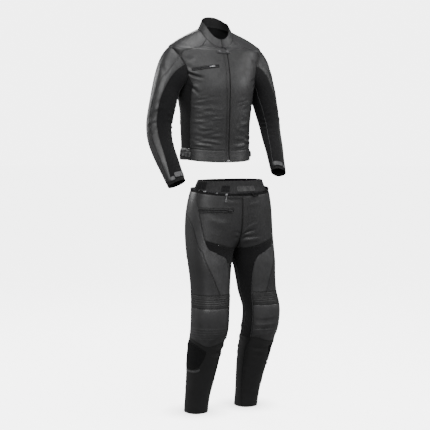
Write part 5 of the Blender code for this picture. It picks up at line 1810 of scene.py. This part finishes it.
# bigger teeth in the bright zip metal at three spots: painted glints on the connection zip
for number, (first, last) in enumerate(((0.395, 0.402), (0.312, 0.345), (0.196, 0.214)), 1):
    teethAlong("bare_zip_teeth_" + str(number), trousers, ["leg_right"], level((first, last), zipLevel), {
        **wideTeethLook, "tooth": (0.0016, 0.0046, 0.0018), "finish": "metal",
    })  # painted glints: bright zip metal on these teeth only
print("seams sewn")


# Zip pulls, slider, zip box and snaps


def frameOn(garment, tube, turn, level, away=1):
    # middle, direction along the turn, direction along the level, and outward, at a place on the cloth
    surface = garment.tubes[tube][0]
    small = 0.002
    turns = np.array([turn, turn + small, turn - small, turn, turn])
    levels = np.array([level, level, level, level + small, level - small])
    points = surface(turns, levels)
    along = Vector(points[1] - points[2]).normalized()
    down = Vector(points[3] - points[4]).normalized()
    out = along.cross(down).normalized() * garment.tubes[tube][3] * away
    return Vector(points[0]), along, down, out


def setOn(build, name, origin, xAxis, out, finish, node, body="suit"):
    # turns a piece so that its own X lies along xAxis and its own Z points out of the cloth
    xAxis = (xAxis - out * xAxis.dot(out)).normalized()
    turned = Matrix((xAxis, out.cross(xAxis), out)).transposed().to_4x4()
    bmesh.ops.recalc_face_normals(build, faces=build.faces)
    build.transform(Matrix.Translation(origin) @ turned)
    mesh = bpy.data.meshes.new(name)
    build.to_mesh(mesh)
    build.free()
    mesh.materials.append(finishes[finish])
    mesh.shade_smooth()
    mesh.set_sharp_from_angle(angle=math.radians(38))
    shape = riding(name, mesh, body)
    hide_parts(node)


def pullTab(look):
    # a flat tab with a slot at its free end, a waist and a round eye at the slider's end
    long, wide, thick = look["size"]
    hole, grip = look["hole"], look["grip"]
    half = wide / 2
    outline = []
    for place in range(9):
        angle = math.pi / 2 + math.pi * place / 8
        outline.append((0.55 * half + 0.55 * half * math.cos(angle), 0.55 * half * math.sin(angle)))
    outline += [(0.28 * long, -0.42 * half), (0.48 * long, -0.86 * half)]
    for place in range(9):
        angle = -math.pi / 2 + math.pi * place / 8
        outline.append((long - half + half * math.cos(angle), half * math.sin(angle)))
    outline += [(0.48 * long, 0.86 * half), (0.28 * long, 0.42 * half)]
    slot = []
    for start, end, turn in ((grip[1], 1, -1), (grip[0], -1, 1)):
        for place in range(7):
            angle = turn * (math.pi / 2) + math.pi * place / 6
            slot.append((start * long + hole * math.cos(angle), hole * math.sin(angle)))
    build = bmesh.new()
    edges = []
    for line in (outline, slot):
        spots = [build.verts.new((x, y, -thick / 2)) for x, y in line]
        edges += [build.edges.new((spots[i], spots[(i + 1) % len(spots)])) for i in range(len(spots))]
    filled = bmesh.ops.triangle_fill(
        build, use_beauty=True, use_dissolve=False, edges=edges, normal=(0, 0, 1),
    )
    faces = [part for part in filled["geom"] if isinstance(part, bmesh.types.BMFace)]
    raised = bmesh.ops.extrude_face_region(build, geom=faces)["geom"]
    raised = [part for part in raised if isinstance(part, bmesh.types.BMVert)]
    bmesh.ops.translate(build, vec=(0, 0, thick), verts=raised)
    bmesh.ops.recalc_face_normals(build, faces=build.faces)
    flat = [edge for edge in build.edges if abs(edge.verts[0].co.z - edge.verts[1].co.z) < 1e-6]
    sharp = [edge for edge in flat if edge.calc_face_angle(0) > 1.2]
    bmesh.ops.bevel(
        build, geom=sharp, offset=0.22 * thick, segments=2, profile=0.5, material=-1, affect="EDGES",
    )
    return build


def addBlock(build, size, at, bevel, taper=1.0):
    made = bmesh.ops.create_cube(build, size=1.0)["verts"]
    bmesh.ops.scale(build, vec=size, verts=made)
    for vert in made:
        if vert.co.z > 0:
            vert.co.x *= taper
            vert.co.y *= taper
    bmesh.ops.translate(build, vec=at, verts=made)
    edges = list({edge for vert in made for edge in vert.link_edges})
    bmesh.ops.bevel(build, geom=edges, offset=bevel, segments=2, profile=0.5, material=-1, affect="EDGES")


def zipSlider(size):
    # lower and upper plates, the neck between them and the bridge that holds the pull
    long, wide, high = size
    build = bmesh.new()
    addBlock(build, (long, wide, 0.26 * high), (long / 2, 0, 0.13 * high), 0.0005)
    addBlock(build, (0.35 * long, 0.28 * wide, 0.40 * high), (0.72 * long, 0, 0.32 * high), 0.0003)
    addBlock(build, (0.94 * long, 0.94 * wide, 0.22 * high), (long / 2, 0, 0.50 * high), 0.0005, 0.9)
    addBlock(build, (0.16 * long, 0.24 * wide, 0.34 * high), (0.20 * long, 0, 0.72 * high), 0.0003)
    addBlock(build, (0.16 * long, 0.24 * wide, 0.34 * high), (0.78 * long, 0, 0.72 * high), 0.0003)
    addBlock(build, (0.74 * long, 0.24 * wide, 0.16 * high), (0.49 * long, 0, 0.92 * high), 0.0003)
    return build


def zipBox(size):
    long, wide, high = size
    build = bmesh.new()
    addBlock(build, (long, wide, 0.72 * high), (long / 2, 0, 0.36 * high), 0.0006)
    addBlock(build, (0.62 * long, 0.22 * wide, 0.30 * high), (0.5 * long, 0.24 * wide, 0.80 * high), 0.0003)
    addBlock(build, (0.62 * long, 0.22 * wide, 0.30 * high), (0.5 * long, -0.24 * wide, 0.80 * high), 0.0003)
    return build


def snapCap(radius, high):
    # a turned cap with a rolled rim, a shallow dish and a low boss
    profile = (
        (0.86, 0.0), (0.98, 0.14), (1.0, 0.34), (0.94, 0.55), (0.84, 0.70), (0.72, 0.74),
        (0.62, 0.68), (0.50, 0.66), (0.36, 0.80), (0.20, 0.92), (0.0, 0.96),
    )
    build = bmesh.new()
    spots = [build.verts.new((radius * x, 0, z * high)) for x, z in profile]
    edges = [build.edges.new(pair) for pair in zip(spots, spots[1:])]
    bmesh.ops.spin(
        build, geom=spots + edges, cent=(0, 0, 0), axis=(0, 0, 1), angle=tau, steps=24,
        use_merge=True, use_duplicate=False,
    )
    bmesh.ops.remove_doubles(build, verts=build.verts, dist=1e-6)
    rim = [edge for edge in build.edges if edge.is_boundary]
    bmesh.ops.contextual_create(build, geom=rim)
    return build


hardware = {
    "pull": {"size": (0.0260, 0.0075, 0.0014), "hole": 0.0013, "grip": (0.66, 0.84)},
    "pocketPull": {"size": (0.0200, 0.0065, 0.0014), "hole": 0.0011, "grip": (0.66, 0.82)},
    "pullLift": 0.0032,
    "hangingLift": 0.0020,
    "slider": (0.0110, 0.0090, 0.0050),
    "turningGap": 0.0009,
    "zipBox": (0.0090, 0.0120, 0.0030),
    "snap": (0.0058, 0.0024),
    "snapLift": 0.0027,
    "onTop": 0.0004,
    # places on the drawings, as turn and level
    "snapsAt": ((-0.0145, 0.494), (0.0055, 0.494)),
    "zipBoxAt": (0.0, 0.002),
    "chestPullAt": (-0.062, 0.4135),
    "chestPullTo": (-0.042, 0.4171),
    "sliderAt": (0.120, 0.003),
    "pocketPullAt": (0.066, 0.0870),
}


def fitHardware(look):
    for number, place in enumerate(look["snapsAt"], 1):
        point, along, _, out = frameOn(jacket, "torso", *place)
        setOn(snapCap(*look["snap"]), f"snap_{number}", point + out * look["snapLift"], along, out, "snap",
              f"jacket_snap_{number}")
    point, _, up, out = frameOn(jacket, "torso", *look["zipBoxAt"])
    setOn(zipBox(look["zipBox"]), "zip_box", point + out * look["onTop"], up, out, "metal", "jacket_zip_box")
    point, _, _, out = frameOn(jacket, "torso", *look["chestPullAt"])
    rise = frameOn(jacket, "torso", *look["chestPullTo"])[0] - point
    setOn(pullTab(look["pull"]), "chest_pull", point + out * look["pullLift"], rise, out, "metal",
          "jacket_chest_pull", "chest_pull")
    point, _, down, out = frameOn(trousers, "leg_right", *look["sliderAt"])
    setOn(zipSlider(look["slider"]), "connection_slider", point + out * look["onTop"], down, out, "metal",
          "trousers_zip_slider")
    hanging = point + down * (look["slider"][0] + look["turningGap"]) + out * look["hangingLift"]
    setOn(pullTab(look["pull"]), "connection_pull_tab", hanging, down, out, "metal", "trousers_zip_pull",
          "connection_pull")
    point, along, _, out = frameOn(trousers, "leg_right", *look["pocketPullAt"])
    setOn(pullTab(look["pocketPull"]), "pocket_pull_tab", point + out * look["pullLift"], along, out, "snap",
          "trousers_pocket_pull", "pocket_pull")


fitHardware(hardware)
print("hardware made")


# Studio


studio = {
    "floor": (0.90, 0.90, 0.90),
    # places of the painted shadows under the trouser hems
    "hems": ((-0.070, 0.055, 0.0), (0.192, 0.055, 0.0)),
    "world": 0.24,
    "backdrop": 5.0,
    "lights": {
        # name: place, size, watts, aim
        "key": ((-2.5, -2.2, 1.2), 2.6, 88.0, (0.0, 0.0, -0.8)),
        "front": ((0.3, -3.0, 0.8), 1.6, 26.0, (0.0, 0.0, -0.9)),
        "right": ((2.7, -1.6, 0.7), 1.6, 32.0, (0.0, 0.0, -0.9)),
        "top": ((0.0, -0.8, 2.4), 1.6, 60.0, (0.0, 0.0, -0.3)),
        "rim": ((1.2, 2.6, 0.8), 1.4, 40.0, (0.0, 0.0, -0.7)),
        "back": ((-1.8, 2.2, 0.4), 1.4, 35.0, (0.0, 0.0, -0.7)),
    },
}


def makeStudio(look):
    graph = Graph("studio paper", Roughness=0.9, Specular_IOR_Level=0.1, Emission_Strength=look["backdrop"])
    at = graph.at()
    paper = graph.noise(at, 14.0)
    tone = look["floor"]
    shade = 1.0
    # painted shadow: the floor's glow darkens in a soft disk under each hem
    for hem in look["hems"]:
        away = graph.node("ShaderNodeVectorMath", {"operation": "DISTANCE"}, at, hem, out=1)
        shade = away.between(0.03, 0.17, 0.12, 1.0) ** 0.5 * shade
    graph.feed(
        Base_Color=graph.mix(paper, tuple(0.985 * part for part in tone), tone),
        Emission_Color=graph.mix(shade, (0.0, 0.0, 0.0), (0.93, 0.93, 0.93)),
    )
    mesh = bpy.data.meshes.new("floor")
    build = bmesh.new()
    bmesh.ops.create_circle(build, cap_ends=True, segments=64, radius=30.0)
    build.to_mesh(mesh)
    build.free()
    mesh.materials.append(graph.material)
    floor = bpy.data.objects.new("floor", mesh)
    floor.location.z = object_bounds()[0][2] - 0.001
    bpy.context.scene.collection.objects.link(floor)
    floor.visible_diffuse, floor.visible_glossy = False, False  # the bright paper doesn't light the suit
    floor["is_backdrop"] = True

    world = bpy.data.worlds.new("studio")
    world.use_nodes = True
    sky = world.node_tree.nodes["Background"].inputs
    sky["Color"].default_value = (1.0, 1.0, 1.0, 1.0)
    seen = world.node_tree.nodes.new("ShaderNodeLightPath").outputs["Is Camera Ray"]
    strength = world.node_tree.nodes.new("ShaderNodeMapRange")
    strength.inputs["To Min"].default_value = look["world"]
    strength.inputs["To Max"].default_value = look["backdrop"]
    world.node_tree.links.new(seen, strength.inputs["Value"])
    world.node_tree.links.new(strength.outputs["Result"], sky["Strength"])
    bpy.context.scene.world = world
    for name, (place, size, watts, aim) in look["lights"].items():
        data = bpy.data.lights.new(name, "AREA")
        data.shape, data.size, data.energy = "DISK", size, watts
        light = bpy.data.objects.new(name, data)
        light.location = place
        light.rotation_euler = (Vector(aim) - Vector(place)).to_track_quat("-Z", "Y").to_euler()
        bpy.context.scene.collection.objects.link(light)


makeStudio(studio)
print("studio set")
